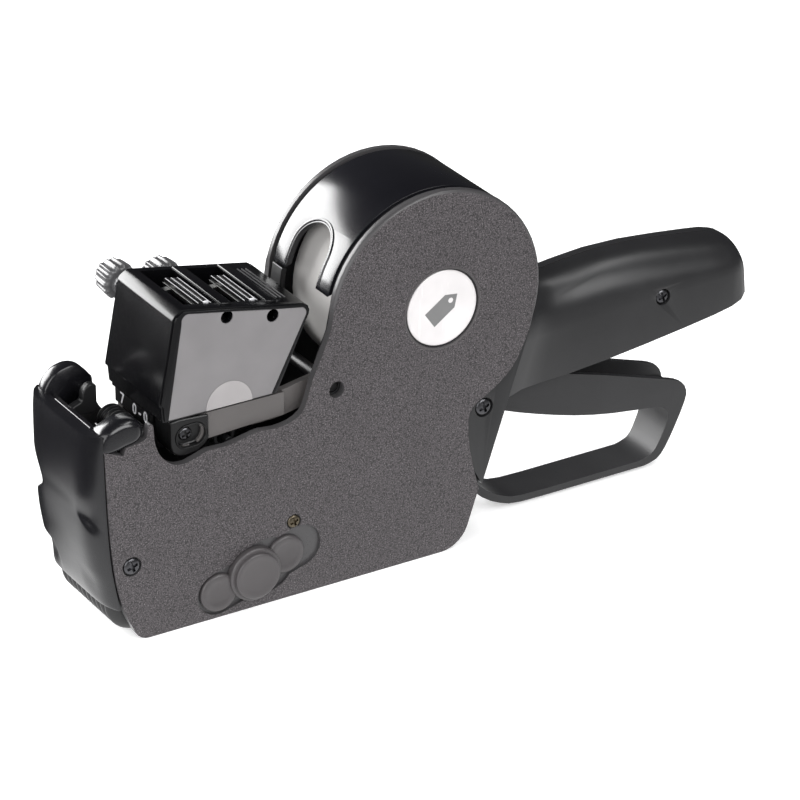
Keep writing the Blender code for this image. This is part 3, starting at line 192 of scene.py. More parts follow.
def moulded_plastic(name, colour, roughness, gloss=0.45, edge_wear_and_sheen=0.5, grain=0.15, scuffing=0.10):
    """Smooth moulded plastic: faint cloudiness, fine grain, scuffs and slightly paler edges.

    wear is how pale the edges get: worn edges, and on the tread a painted highlight along its ribs; grain the
    strength of the fine relief, scuffing the roughness of scuffs.
    """
    look = Look(name)
    clouds = look.noise(70, 3.0)
    grit = look.noise(2600, 2.0)
    scuffs = look.span(look.noise(900, 4.0, 0.6, (1.0, 0.35, 0.08)), 0.60, 0.74)
    base = look.mix(look.span(clouds, 0.3, 0.7), tinted(colour, 0.86), colour)
    base = look.mix(look.math("MULTIPLY", look.edges(0.35 * MM), edge_wear_and_sheen), base, tinted(colour, 1.30, 0.012))
    uneven = look.math("ADD", look.span(clouds, 0.25, 0.75, roughness * 0.88, roughness * 1.08),
                       look.math("MULTIPLY", scuffs, scuffing))
    look.set(Base_Color=base, Roughness=uneven, Specular_IOR_Level=gloss)
    if grain > 0:
        look.set(Normal=look.bump(grit, 0.02 * MM, grain))
    return look.material


def pebbled_plastic(name, colour, speckle, smooth_colour, face_y):
    """Spark-eroded plastic: a dense pebble grain, darker in its hollows as painted shade and speckled pale on its
    tops as painted glints.

    Everything off the outer face at face_y (chamfers, recess floors, rims) is smooth.
    """
    look = Look(name)
    pebbles = look.cells(2000)
    pits = look.noise(2500, 3.0, 0.62)
    clouds = look.noise(45, 2.0)
    height = look.math("ADD", look.math("MULTIPLY", pebbles, -0.8), look.math("MULTIPLY", pits, 0.9))
    dark = tinted(colour, 0.34)
    # Painted shade: the low parts of the grain take the darker colour.
    base = look.mix(look.span(height, -0.16, 0.26), dark, colour)
    # Painted glints: pale speckle on the high parts of the grain.
    base = look.mix(look.span(pits, 0.55, 0.74, 0.0, 0.75), base, speckle)
    base = look.mix(look.span(clouds, 0.3, 0.7, 0.0, 0.12), base, dark)
    rough = look.span(pits, 0.3, 0.7, 0.62, 0.48)
    aside = look.math("ABSOLUTE", look.along("Y"), 0.0)
    on_face = look.span(aside, face_y - 0.10 * MM, face_y - 0.03 * MM)
    base = look.mix(on_face, smooth_colour, base)
    rough = look.math("MULTIPLY", rough, look.span(on_face, 0.0, 1.0, 0.55, 1.0))
    relief = look.math("MULTIPLY", height, look.span(on_face, 0.0, 1.0, 0.12, 1.0))
    look.set(Base_Color=base, Roughness=rough, Specular_IOR_Level=0.4,
             Normal=look.bump(relief, 0.12 * MM, 0.6))
    return look.material


def worn_metal(name, colour, roughness, edge_wear_and_sheen=0.4):
    """Turned or drawn metal: fine lines one way, cloudy roughness and brighter edges."""
    look = Look(name)
    lines = look.noise(5200, 3.0, 0.6, (1.0, 0.05, 1.0))
    clouds = look.noise(160, 3.0)
    base = look.mix(look.span(clouds, 0.35, 0.65), tinted(colour, 0.7), colour)
    base = look.mix(look.math("MULTIPLY", look.edges(0.25 * MM), edge_wear_and_sheen), base, tinted(colour, 1.25))
    rough = look.span(lines, 0.3, 0.7, roughness * 0.8, roughness * 1.25)
    look.set(Base_Color=base, Metallic=1.0, Roughness=rough, Normal=look.bump(lines, 0.01 * MM, 0.35))
    return look.material


def soft_rubber(name, colour):
    """Dry rubber: fine open grain, paler on the raised parts of the grain."""
    look = Look(name)
    grain = look.noise(2400, 4.0, 0.65)
    clouds = look.noise(120, 3.0)
    base = look.mix(look.span(grain, 0.45, 0.75, 0.0, 0.5), colour, tinted(colour, 1.5, 0.015))
    look.set(Base_Color=base, Roughness=look.span(clouds, 0.3, 0.7, 0.60, 0.82), Specular_IOR_Level=0.35,
             Normal=look.bump(grain, 0.06 * MM, 0.5))
    return look.material


def wound_paper(name, colour, winding):
    """Paper or card wound on an axis along Y: rings on its faces and faint fibres."""
    look = Look(name)
    centred = look.nodes.new("ShaderNodeMapping")
    look.links.new(look.place, centred.inputs["Vector"])
    centred.inputs["Location"].default_value = (-ROLL_AXIS[0], 0, -ROLL_AXIS[1])
    centred.inputs["Scale"].default_value = (1, 0, 1)
    radius = look.nodes.new("ShaderNodeVectorMath")
    radius.operation = "LENGTH"
    look.links.new(centred.outputs["Vector"], radius.inputs[0])
    turns = look.math("FRACT", look.math("MULTIPLY", radius.outputs["Value"], 1 / winding), 0.0)
    fibres = look.noise(1500, 4.0, 0.7, (1.0, 0.25, 1.0))
    shade = tinted(colour, 0.72)
    base = look.mix(look.span(turns, 0.0, 0.35, 0.55, 0.0), colour, shade)
    base = look.mix(look.span(fibres, 0.55, 0.8, 0.0, 0.25), base, shade)
    look.set(Base_Color=base, Roughness=0.78, Specular_IOR_Level=0.3,
             Normal=look.bump(look.math("ADD", turns, fibres), 0.04 * MM, 0.4))
    return look.material


MATERIALS = {
    # The cover's pale second colour is for painted glints on the tops of its grain; the darker hollows are painted
    # shade.
    "cover": pebbled_plastic("cover_pebble", srgb(74, 70, 72), srgb(152, 147, 150), srgb(66, 65, 66), HALF_W),
    "latch": moulded_plastic("latch_satin", srgb(70, 67, 68), 0.40, 0.5, 0.6, 0.5),
    "frame": moulded_plastic("frame_satin", srgb(37, 37, 38), 0.32, 0.42),
    "gloss": moulded_plastic("gloss_black", srgb(19, 19, 22), 0.24, 0.6, 0.15, 0.0, 0.03),
    "hood": moulded_plastic("hood_gloss", srgb(16, 16, 20), 0.20, 0.6, 0.2, 0.0, 0.03),
    "head": moulded_plastic("head_satin", srgb(9, 9, 11), 0.24, 0.34, 0.3, 0.0, 0.03),
    "lug": moulded_plastic("lug_gloss", srgb(13, 13, 14), 0.34, 0.45, 0.4, 0.03),
    "trigger": moulded_plastic("trigger_satin", srgb(44, 44, 45), 0.46, 0.28, 0.6),
    "inner": moulded_plastic("inner_black", srgb(24, 24, 25), 0.40, 0.45),
    "knob": moulded_plastic("knob_grey", srgb(78, 78, 79), 0.30, 0.55, 0.5),
    "plate": moulded_plastic("plate_satin", srgb(116, 114, 115), 0.42, 0.4, 0.2, 0.3),
    "tab": moulded_plastic("tab_satin", srgb(150, 147, 147), 0.5, 0.35, 0.3, 0.3),
    "carrier": moulded_plastic("carrier_satin", srgb(86, 83, 82), 0.30, 0.55, 0.4),
    "badge": moulded_plastic("badge_white", srgb(209, 206, 206), 0.25, 0.5, 0.1, 0.1),
    "badge_mark": moulded_plastic("badge_grey", srgb(112, 112, 112), 0.4, 0.4, 0.1, 0.1),
    "mark": moulded_plastic("mark_silver", srgb(205, 205, 208), 0.35, 0.5, 0.1, 0.1),
    "black_screw": worn_metal("black_oxide", srgb(92, 92, 95), 0.30),
    "steel": worn_metal("drawn_steel", srgb(168, 168, 172), 0.26),
    "zinc": worn_metal("zinc_plate", srgb(150, 150, 148), 0.34),
    "brass": worn_metal("dull_brass", srgb(104, 96, 82), 0.36),
    "rubber": soft_rubber("black_rubber", srgb(28, 28, 29)),
    # On the tread, the full edge paleness is a painted highlight that picks out the ribs.
    "tread": moulded_plastic("tread_rubber", srgb(30, 30, 31), 0.38, 0.55, 1.0, 0.5),
    "paper": wound_paper("label_paper", srgb(172, 170, 168), 0.35 * MM),
    "card": wound_paper("core_card", srgb(176, 150, 112), 0.45 * MM),
}


# ---------------------------------------------------------------- outlines, in the XZ plane

def mm(*points):
    """Points given in millimetres, in metres."""
    return [(x * MM, z * MM) for x, z in points]


def polar(centre, radius, angle):
    return (centre[0] + radius * math.cos(angle), centre[1] + radius * math.sin(angle))


def arc(centre, radius, start, end, steps):
    """Points on an arc between two angles in degrees, both ends included."""
    return [polar(centre, radius, math.radians(start + (end - start) * i / steps)) for i in range(steps + 1)]


def ring(centre, radius, steps):
    """A full circle of points, without the first one repeated."""
    return arc(centre, radius, 0, 360, steps)[:-1]


def capsule(first, second, radius, steps=12):
    """A slot outline: two half rounds of one radius and the straights between them."""
    heading = math.degrees(math.atan2(second[1] - first[1], second[0] - first[0]))
    return (arc(second, radius, heading - 90, heading + 90, steps)
            + arc(first, radius, heading + 90, heading + 270, steps))


def inset(outline, distance):
    """The outline pulled in towards its centre by a small distance."""
    cx = sum(x for x, z in outline) / len(outline)
    cz = sum(z for x, z in outline) / len(outline)
    moved = []
    for x, z in outline:
        reach = math.hypot(x - cx, z - cz)
        share = 1 - distance / reach
        moved.append((cx + (x - cx) * share, cz + (z - cz) * share))
    return moved


def smoothed(outline, steps=6):
    """A closed outline with extra points on a smooth curve through its corners."""
    count = len(outline)
    curve = []
    for i in range(count):
        p0, p1, p2, p3 = (outline[(i + k) % count] for k in (-1, 0, 1, 2))
        for step in range(steps):
            t = step / steps
            curve.append(tuple(0.5 * (2 * p1[k] + (p2[k] - p0[k]) * t
                                      + (2 * p0[k] - 5 * p1[k] + 4 * p2[k] - p3[k]) * t ** 2
                                      + (3 * p1[k] - p0[k] - 3 * p2[k] + p3[k]) * t ** 3) for k in (0, 1)))
    return curve


def smoothstep(value, low, high):
    share = min(max((value - low) / (high - low), 0.0), 1.0)
    return share * share * (3 - 2 * share)


def curve_at(knots, place):
    """Value at a place on the smooth curve through (place, value) knots."""
    if place <= knots[0][0]:
        return knots[0][1]
    if place >= knots[-1][0]:
        return knots[-1][1]
    slopes = []
    for i in range(len(knots)):
        before, after = knots[max(i - 1, 0)], knots[min(i + 1, len(knots) - 1)]
        slopes.append((after[1] - before[1]) / (after[0] - before[0]))
    for i in range(len(knots) - 1):
        (start, low), (end, high) = knots[i], knots[i + 1]
        if place <= end:
            width = end - start
            t = (place - start) / width
            return (low * (1 + 2 * t) * (1 - t) ** 2 + slopes[i] * width * t * (1 - t) ** 2
                    + high * t * t * (3 - 2 * t) + slopes[i + 1] * width * t * t * (t - 1))
    return knots[-1][1]


# ---------------------------------------------------------------- meshes

def evaluated(obj):
    """The object's mesh with its modifiers applied, in world metres."""
    bpy.context.view_layer.update()
    graph = bpy.context.evaluated_depsgraph_get()
    mesh = bpy.data.meshes.new_from_object(obj.evaluated_get(graph))
    mesh.transform(obj.matrix_world)
    return mesh


def drop(*objects):
    for obj in objects:
        bpy.data.objects.remove(obj, do_unlink=True)


def tidy(mesh):
    """Weld a mesh and make its flat faces whole."""
    shape = bmesh.new()
    shape.from_mesh(mesh)
    bmesh.ops.remove_doubles(shape, verts=shape.verts, dist=0.004 * MM)
    bmesh.ops.dissolve_limit(shape, angle_limit=math.radians(0.4), verts=shape.verts, edges=shape.edges,
                             use_dissolve_boundaries=False)
    bmesh.ops.recalc_face_normals(shape, faces=shape.faces)
    shape.to_mesh(mesh)
    shape.free()
    return mesh


def slab(outline, y0, y1, holes=()):
    """An outline in XZ, thick from y0 to y1."""
    curve = bpy.data.curves.new("outline", "CURVE")
    curve.dimensions = "2D"
    curve.fill_mode = "BOTH"
    curve.extrude = abs(y1 - y0) / 2
    for loop in (outline, *holes):
        spline = curve.splines.new("POLY")
        spline.points.add(len(loop) - 1)
        for point, (x, z) in zip(spline.points, loop):
            point.co = (x, z, 0, 1)
        spline.use_cyclic_u = True
    obj = bpy.data.objects.new("outline", curve)
    obj.rotation_euler = (math.pi / 2, 0, 0)
    obj.location = (0, (y0 + y1) / 2, 0)
    bpy.context.scene.collection.objects.link(obj)
    mesh = evaluated(obj)
    drop(obj)
    return tidy(mesh)


def disc(centre, radius, y0, y1, steps=40):
    return slab(ring(centre, radius, steps), y0, y1)


def block(x0, x1, y0, y1, z0, z1):
    return slab([(x0, z0), (x1, z0), (x1, z1), (x0, z1)], y0, y1)


def carve(mesh, *cutters):
    """The mesh with each cutter taken away."""
    base = bpy.data.objects.new("carved", mesh)
    bpy.context.scene.collection.objects.link(base)
    tools = []
    for cutter in cutters:
        tool = bpy.data.objects.new("tool", cutter)
        bpy.context.scene.collection.objects.link(tool)
        step = base.modifiers.new("carve", "BOOLEAN")
        step.operation = "DIFFERENCE"
        step.solver = "EXACT"
        step.object = tool
        tools.append(tool)
    result = evaluated(base)
    drop(base, *tools)
    return tidy(result)


def together(*meshes):
    """Several closed shells in one mesh."""
    shape = bmesh.new()
    for mesh in meshes:
        shape.from_mesh(mesh)
    result = bpy.data.meshes.new("together")
    shape.to_mesh(result)
    shape.free()
    return result


def skin(rows, caps=True):
    """Faces over rows of points, each row closed; caps close the first and last."""
    shape = bmesh.new()
    grid = [[shape.verts.new(point) for point in row] for row in rows]
    count = len(grid[0])
    for row, after in zip(grid, grid[1:]):
        for i in range(count):
            j = (i + 1) % count
            shape.faces.new((row[i], row[j], after[j], after[i]))
    if caps:
        shape.faces.new(grid[0])
        shape.faces.new(grid[-1])
    bmesh.ops.remove_doubles(shape, verts=shape.verts, dist=0.001 * MM)
    bmesh.ops.recalc_face_normals(shape, faces=shape.faces)
    mesh = bpy.data.meshes.new("skin")
    shape.to_mesh(mesh)
    shape.free()
    return mesh


def turned(profile, centre, steps=64):
    """A closed (y, radius) profile turned about an axis along Y."""
    rows = []
    for y, radius in profile:
        rows.append([Vector((x, y, z)) for x, z in ring(centre, max(radius, 0.001 * MM), steps)])
    return skin(rows)


def add_piece(name, mesh, look, body, nodes=(), smooth_angle=35):
    """Link a mesh as a visible piece that rides on a body and stands for CAD nodes."""
    piece = bpy.data.objects.new(name, mesh)
    bpy.context.scene.collection.objects.link(piece)
    mesh.materials.clear()
    mesh.materials.append(MATERIALS[look])
    mesh.shade_smooth()
    mesh.set_sharp_from_angle(angle=math.radians(smooth_angle))
    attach(piece, body)
    if nodes:
        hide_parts(*nodes)
    return piece


def soften(piece, width, segments=3, angle=28):
    """Round a piece's edges and keep its flat faces flat."""
    bevel = piece.modifiers.new("rounded_edges", "BEVEL")
    bevel.width = width
    bevel.segments = segments
    bevel.limit_method = "ANGLE"
    bevel.angle_limit = math.radians(angle)
    bevel.use_clamp_overlap = True
    bevel.miter_outer = "MITER_ARC"
    bevel.harden_normals = True
    return piece


def rounded(mesh, width, segments=4, angle=28):
    """A mesh with its edges rounded, for shells that join others."""
    obj = bpy.data.objects.new("rounding", mesh)
    bpy.context.scene.collection.objects.link(obj)
    soften(obj, width, segments, angle).modifiers[0].harden_normals = False
    result = evaluated(obj)
    drop(obj)
    return result


def node_shape(node):
    """A CAD node's shape as a bmesh, welded and with its flat faces made whole."""
    shape = bmesh.new()
    shape.from_mesh(frame["nodes"][node].data)
    bmesh.ops.remove_doubles(shape, verts=shape.verts, dist=0.01 * MM)
    bmesh.ops.dissolve_limit(shape, angle_limit=math.radians(0.6), verts=shape.verts, edges=shape.edges,
                             use_dissolve_boundaries=False)
    return shape


def finished(shape, name):
    """A mesh made from a bmesh, which is freed."""
    bmesh.ops.recalc_face_normals(shape, faces=shape.faces)
    mesh = bpy.data.meshes.new(name)
    shape.to_mesh(mesh)
    shape.free()
    return mesh


def refined(node, look, width=0.25 * MM, segments=2):
    """The CAD shape with rounded edges and a real surface."""
    name = node + "_fine"
    piece = add_piece(name, finished(node_shape(node), name), look, BODY_OF[node], [node])
    return soften(piece, width, segments)


def middle(node):
    """Centre of a node's box, as (x, z)."""
    low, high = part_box(node)
    return ((low.x + high.x) / 2, (low.z + high.z) / 2)


# ---------------------------------------------------------------- housing

def build_cover(side):
    """Side cover: pebbled face with a broad chamfer around the roll housing."""
    node = ("left" if side < 0 else "right") + "_side_cover"
    shape = node_shape(node)
    outer_y = side * HALF_W
    rim = []
    for edge in shape.edges:
        on_rim = True
        for vertex in edge.verts:
            radius = math.hypot(vertex.co.x - ROLL_AXIS[0], vertex.co.z - ROLL_AXIS[1])
            if abs(vertex.co.y - outer_y) > 0.02 * MM or abs(radius - ROLL_R) > 0.15 * MM:
                on_rim = False
        if on_rim:
            rim.append(edge)
    bmesh.ops.bevel(shape, geom=rim, offset=1.2 * MM, segments=5, profile=0.5, affect="EDGES")
    name = node + "_fine"
    piece = add_piece(name, finished(shape, name), "cover", "housing", [node])
    return soften(piece, 0.45 * MM, 3)


# The nose is shaped in millimetres: (height, x) of its front and of its seam with the covers, and
# (height, y) of the inner edge of the scoops in its corners.
NOSE_BASE = 11.4
NOSE_TOP = 68.6
NOSE_FRONT = ((NOSE_BASE, -64.3), (13.4, -65.2), (17.0, -66.3), (22.0, -67.4), (27.0, -68.4), (32.0, -69.2),
              (37.0, -69.6), (42.0, -69.7), (46.0, -70.1), (50.0, -70.2), (60.0, -70.1), (65.0, -69.9),
              (NOSE_TOP, -69.4))
NOSE_SEAM = ((NOSE_BASE, -60.7), (17.0, -61.9), (27.0, -63.4), (42.0, -64.3), (60.0, -64.7),
             (NOSE_TOP, -64.8))
SCOOP_EDGE = ((25.0, 20.4), (30.0, 19.2), (36.0, 17.2), (39.0, 14.6), (42.0, 10.6), (46.0, 10.4),
              (51.0, 13.6), (54.0, 17.0), (56.5, 20.4))
NEAR_DENT = 0.26


def nose_dent(across, height, near):
    """Share by which the nose's front is pressed back towards the seam, softer on the near (-Y) side."""
    edge = curve_at(SCOOP_EDGE, height)
    ramp = (4.6 if near else 1.6) + 6.0 * smoothstep(height, 39, 50)
    rise = smoothstep(height, 17, 39) if near else smoothstep(height, 24, 31)
    upper = smoothstep(across - edge, 0.0, ramp) * rise * (1 - smoothstep(height, 42, 57))
    low_band = smoothstep(height, 11.0, 17.5) * (1 - smoothstep(height, 18.5, 25.0))
    lower = smoothstep(across, 6.5, 14.0) * low_band
    return min(0.80 * upper + 0.55 * lower, 0.85) * (NEAR_DENT if near else 1.0)


def nose_row(height, lean=0.0):
    """One level of the nose, from the left seam round the front to the right seam; lean pulls it back."""
    front = curve_at(NOSE_FRONT, height) + lean
    seam = curve_at(NOSE_SEAM, height)
    half = HALF_W / MM
    steps = 88
    row = []
    for i in range(steps + 1):
        across = math.sin((2 * i / steps - 1) * math.pi / 2)
        turn = abs(across) ** 7
        dent = nose_dent(abs(across) * half, height, across <= 0)
        share = 1 - (1 - turn) * (1 - dent)
        row.append(Vector(((front + (seam - 0.7 - front) * share) * MM, across * HALF_W, height * MM)))
    back = (seam - 0.3) * MM
    row.append(Vector((back, HALF_W, height * MM)))
    row.append(Vector((back, -HALF_W, height * MM)))
    return row


def pillow(outline, y_flat, y_round, radius):
    """A thick outline whose edge at y_round is fully rounded."""
    outline = smoothed(outline)
    side = 1 if y_round > y_flat else -1
    rows = [[Vector((x, y, z)) for x, z in inset(outline, back)]
            for y, back in ((y_flat, 0.4 * MM), (y_flat + side * 0.4 * MM, 0.0))]
    steps = 9
    for i in range(steps + 1):
        a = math.pi / 2 * i / steps
        y = y_round - side * radius * (1 - math.sin(a))
        rows.append([Vector((x, y, z)) for x, z in inset(outline, radius * (1 - math.cos(a)))])
    return skin(rows)


def build_nose():
    """The sculpted nose with pressed-in corners, and the two horns that wrap back over the covers."""
    levels = 110
    rounding = 0.5
    rows = [nose_row(NOSE_BASE, 0.9), nose_row(NOSE_BASE + 0.15, 0.4)]
    for i in range(levels + 1):
        rows.append(nose_row(NOSE_BASE + rounding + (NOSE_TOP - NOSE_BASE - rounding) * i / levels))
    shells = [skin(rows)]
    far_horn = mm((-66.4, 62.4), (-66.5, 67.8), (-65.3, 71.2), (-62.4, 74.2), (-58.4, 75.4), (-55.0, 74.7),
                  (-52.4, 72.3), (-51.2, 69.8), (-51.1, 66.9), (-52.0, 64.9), (-54.6, 64.0), (-58.8, 62.2))
    near_horn = mm((-66.2, 62.6), (-66.3, 66.0), (-64.6, 68.9), (-61.6, 70.6), (-58.2, 71.4), (-55.0, 71.1),
                   (-52.5, 69.7), (-51.4, 67.5), (-51.6, 65.4), (-53.2, 63.7), (-57.0, 62.4), (-62.0, 61.9))
    horn_inside = 13.4 * MM
    shells.append(pillow(far_horn, horn_inside, HALF_W, 3.4 * MM))
    shells.append(pillow(near_horn, -horn_inside, -HALF_W, 2.9 * MM))
    # Two thin beads along the top edge catch the light.
    for x, y0, y1 in ((-65.05, -12.6, 9.1), (-62.4, -15.2, -10.8)):
        shells.append(disc((x * MM, (NOSE_TOP - 0.15) * MM), 0.32 * MM, y0 * MM, y1 * MM, 12))
    # A web behind the face joins the two sides.
    shells.append(block(-62.6 * MM, -61.4 * MM, -17.2 * MM, 17.2 * MM, 30 * MM, 66 * MM))
    add_piece("front_nose_fine", together(*shells), "gloss", "housing", ["front_nose"], 50)


def build_badge(side):
    """A slightly domed disc with a plain price-tag sign, in a raised ring."""
    node = ("left" if side < 0 else "right") + "_badge"
    low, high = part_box(node)
    radius = (high.x - low.x) / 2
    centre = middle(node)
    y_in, y_out = side * (HALF_W - 0.8 * MM), side * (HALF_W - 0.1 * MM)
    profile = [(y_in, 0), (y_in, radius), (y_out - side * 0.25 * MM, radius), (y_out, radius - 0.3 * MM)]
    for share in (0.9, 0.6, 0.3, 0.0):
        profile.append((y_out + side * 0.18 * MM * (1 - share ** 2), radius * share))
    add_piece(node + "_fine", turned(profile, centre, 96), "badge", "housing", [node], 50)
    tilt = math.radians(35)
    tag = []
    for across, up in ((-5.4, -2.9), (3.0, -2.9), (6.2, 0.0), (3.0, 2.9), (-5.4, 2.9)):
        tag.append((centre[0] - side * (across * math.cos(tilt) - up * math.sin(tilt)) * MM,
                    centre[1] + (across * math.sin(tilt) + up * math.cos(tilt)) * MM))
    hole_at = (centre[0] - side * 3.4 * math.cos(tilt) * MM, centre[1] + 3.4 * math.sin(tilt) * MM)
    sign = slab(tag, y_out, y_out + side * 0.22 * MM, [ring(hole_at, 0.8 * MM, 20)])
    soften(add_piece(node + "_sign", sign, "badge_mark", "housing"), 0.1 * MM, 2)
    rows = []
    for lift, out in ((-0.6, 0.62), (0.12, 0.66), (0.2, 0.95), (0.1, 1.25), (-0.2, 1.3), (-0.6, 0.62)):
        y = side * (HALF_W + lift * MM)
        rows.append([Vector((x, y, z)) for x, z in ring(centre, radius + out * MM, 96)])
    add_piece(node + "_ring", skin(rows, caps=False), "latch", "housing", (), 60)


# ---------------------------------------------------------------- covers that open

HOOD_R = ROLL_R - 0.1 * MM
HOOD_THICK = 1.9 * MM
NOTCH_HALF = 8.6 * MM
NOTCH_ANGLE = math.radians(151)


def build_hood():
    """The glossy hood: rounded rims, a finger notch with a raised lip, and its hinge knuckle."""
    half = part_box("roll_cover")[1].y
    outer = arc(ROLL_AXIS, HOOD_R, 165, 21, 84)
    inner = arc(ROLL_AXIS, ROLL_R - HOOD_THICK, 21, 163, 84)
    hinge = axis_place("roll_cover_hinge")
    root = polar(ROLL_AXIS, ROLL_R - 1.4 * MM, math.radians(26))
    knuckle = slab(capsule(hinge, root, 2.3 * MM), -half, half)
    shell = carve(slab(outer + inner, -half, half), notch_cutter(NOTCH_HALF))
    lip = [[place + offset for offset in lip_ring(place)] for place in notch_path()]
    hood = together(rounded(shell, 0.35 * MM, 3), skin(lip), knuckle)
    add_piece("roll_cover_fine", hood, "hood", "roll_cover", ["roll_cover"], 40)
    stop = arc(ROLL_AXIS, ROLL_R - 0.2 * MM, 166.5, 178, 10)
    stop += arc(ROLL_AXIS, ROLL_R - HOOD_THICK, 178, 166.5, 10)
    soften(add_piece("hood_stop", slab(stop, 10.4 * MM, half + 0.6 * MM), "inner", "housing"), 0.35 * MM, 3)


def notch_frame():
    """The roll's centre, the direction out through the notch and the one up along the hood."""
    out = Vector((math.cos(NOTCH_ANGLE), 0, math.sin(NOTCH_ANGLE)))
    up = Vector((math.sin(NOTCH_ANGLE), 0, -math.cos(NOTCH_ANGLE)))
    return Vector((ROLL_AXIS[0], 0, ROLL_AXIS[1])), out, up


def notch_cutter(half):
    """A U-shaped solid that points at the roll's axis."""
    origin, out, up = notch_frame()
    length = 19 * MM
    outline = [(half, -length), *arc((0, 0), half, 0, 180, 32), (-half, -length)]
    rows = []
    for radius in (ROLL_R * 0.80, ROLL_R * 1.15):
        rows.append([origin + out * radius + up * v + Vector((0, u, 0)) for u, v in outline])
    return skin(rows)


def notch_path():
    """The lip's centre line on the hood's outside, from one end of the U to the other."""
    origin, out, up = notch_frame()
    half = NOTCH_HALF + 0.9 * MM
    steps, pitch = 8, 0.95 * MM
    flat = [(half, pitch * (i - steps)) for i in range(steps)]
    flat += arc((0, 0), half, 0, 180, 32)[1:-1]
    flat += [(-half, -pitch * i) for i in range(1, steps + 1)]
    return [origin + out * math.sqrt(HOOD_R ** 2 - v ** 2) + up * v + Vector((0, u, 0)) for u, v in flat]


def lip_ring(place):
    """A small round section across the lip, flat on the hood."""
    origin, _, up = notch_frame()
    outward = Vector((place.x - origin.x, 0, place.z - origin.z)).normalized()
    level = (place - origin).dot(up)
    side = Vector((0, place.y, 0))
    if level > 0:
        side += up * level
    side.normalize()
    half_width, height = 0.55 * MM, 0.30 * MM
    return [side * (across * half_width) + outward * (lift * height) for across, lift in ring((0, 0), 1, 10)]


def build_latch():
    """Three-lobed slide: dished thumb pads around a raised, dished button."""
    node = "latch_slider"
    tilt = math.radians(16)
    centre = axis_of_latch()
    shells = []
    floor_y = -(HALF_W - 1.0 * MM) - 0.25 * MM
    for offset in (-12.3 * MM, 11.3 * MM):
        pad = polar(centre, offset, tilt)
        shells.append(dished(pad, 6.1 * MM, floor_y, -(HALF_W + 0.5 * MM), 0.7 * MM, 1.1 * MM))
    shells.append(dished(centre, 8.5 * MM, floor_y, -(HALF_W + 1.6 * MM), 0.0, 0.8 * MM))
    shells.append(dished(centre, 7.3 * MM, floor_y, -(HALF_W + 2.9 * MM), 0.75 * MM, 0.7 * MM))
    shells.append(disc(centre, 1.3 * MM, -(HALF_W - 2.7 * MM), floor_y))
    add_piece(node + "_fine", together(*shells), "latch", BODY_OF[node], [node], 50)


def axis_of_latch():
    """Centre of the latch button: the middle of the node's box, less the uneven lobes."""
    x, z = middle("latch_slider")
    return (x + 0.48 * MM, z + 0.14 * MM)


def dished(centre, radius, y_base, y_top, dish, edge):
    """A round pad that stands to -Y with a rounded rim and a shallow dish."""
    profile = [(y_base, 0), (y_base, radius)]
    for i in range(7):
        a = math.pi / 2 * i / 6
        profile.append((y_top + edge * (1 - math.sin(a)) * 0.8, radius - edge * (1 - math.cos(a))))
    inner = radius - 1.6 * edge
    for i in range(9):
        share = 1 - i / 8
        profile.append((y_top + dish * (1 - share ** 2) ** 0.7, inner * share))
    return turned(profile, centre, 72)


# ---------------------------------------------------------------- print head

HEAD_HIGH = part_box("head_housing")[1]
HEAD_HALF_W = HEAD_HIGH.y
HEAD_SLOPE = 0.19
HEAD_RIDGE_X = -36.0 * MM
HEAD_WALL = 2.0 * MM
KNOB_AXES = [axis_place(joint) for joint in ("front_knob_turn", "rear_knob_turn")]
PLATE_HOLES = [(-22.6 * MM, 94.6 * MM), (-7.6 * MM, 91.4 * MM)]
HOLE_R = 2.0 * MM


def head_top(x):
    """Height of the head's sloping top at an x, both in metres."""
    return HEAD_HIGH.z - HEAD_SLOPE * (x - HEAD_RIDGE_X)


def top_strip(x0, x1, low, high):
    """An outline that follows the head's top from x0 to x1, between two heights above it."""
    top0, top1 = head_top(x0), head_top(x1)
    return [(x0, top0 + low), (x1, top1 + low), (x1, top1 + high), (x0, top0 + high)]


def head_side_outline():
    """The front leans forward to its lower edge, where a lip steps back."""
    front = mm((-43.9, 66.2), (-44.3, 71.0), (-45.0, 71.6), (-45.0, 72.3), (-40.1, 97.3), (-39.9, 97.9),
               (-39.3, 98.7), (-37.4, 99.9), (-36.6, 100.1))
    rear_x = 2.6 * MM
    top = [(rear_x, head_top(rear_x)), (4.3 * MM, head_top(4.6 * MM) - 0.8 * MM)]
    return front + top + mm((4.8, 90.2), (4.6, 89.0), (-6.4, 66.2))


def plate_outline(side, gap=0.0):
    """The side plates; the right one reaches further forward, round the front selector's shaft."""
    forward = 2.2 if side > 0 else 0.0
    low = 66.5 - gap
    edges = mm((-8.4 + gap, low), (-42.3 - 0.4 * forward - gap, low), (-37.3 - forward - gap, 95.6))
    return (edges
            + arc(((-35.1 - forward) * MM, 96.4 * MM), (2.2 + gap) * MM, 165, 90, 8)
            + arc((1.6 * MM, 89.8 * MM), (1.9 + gap) * MM, 80, -20, 8))


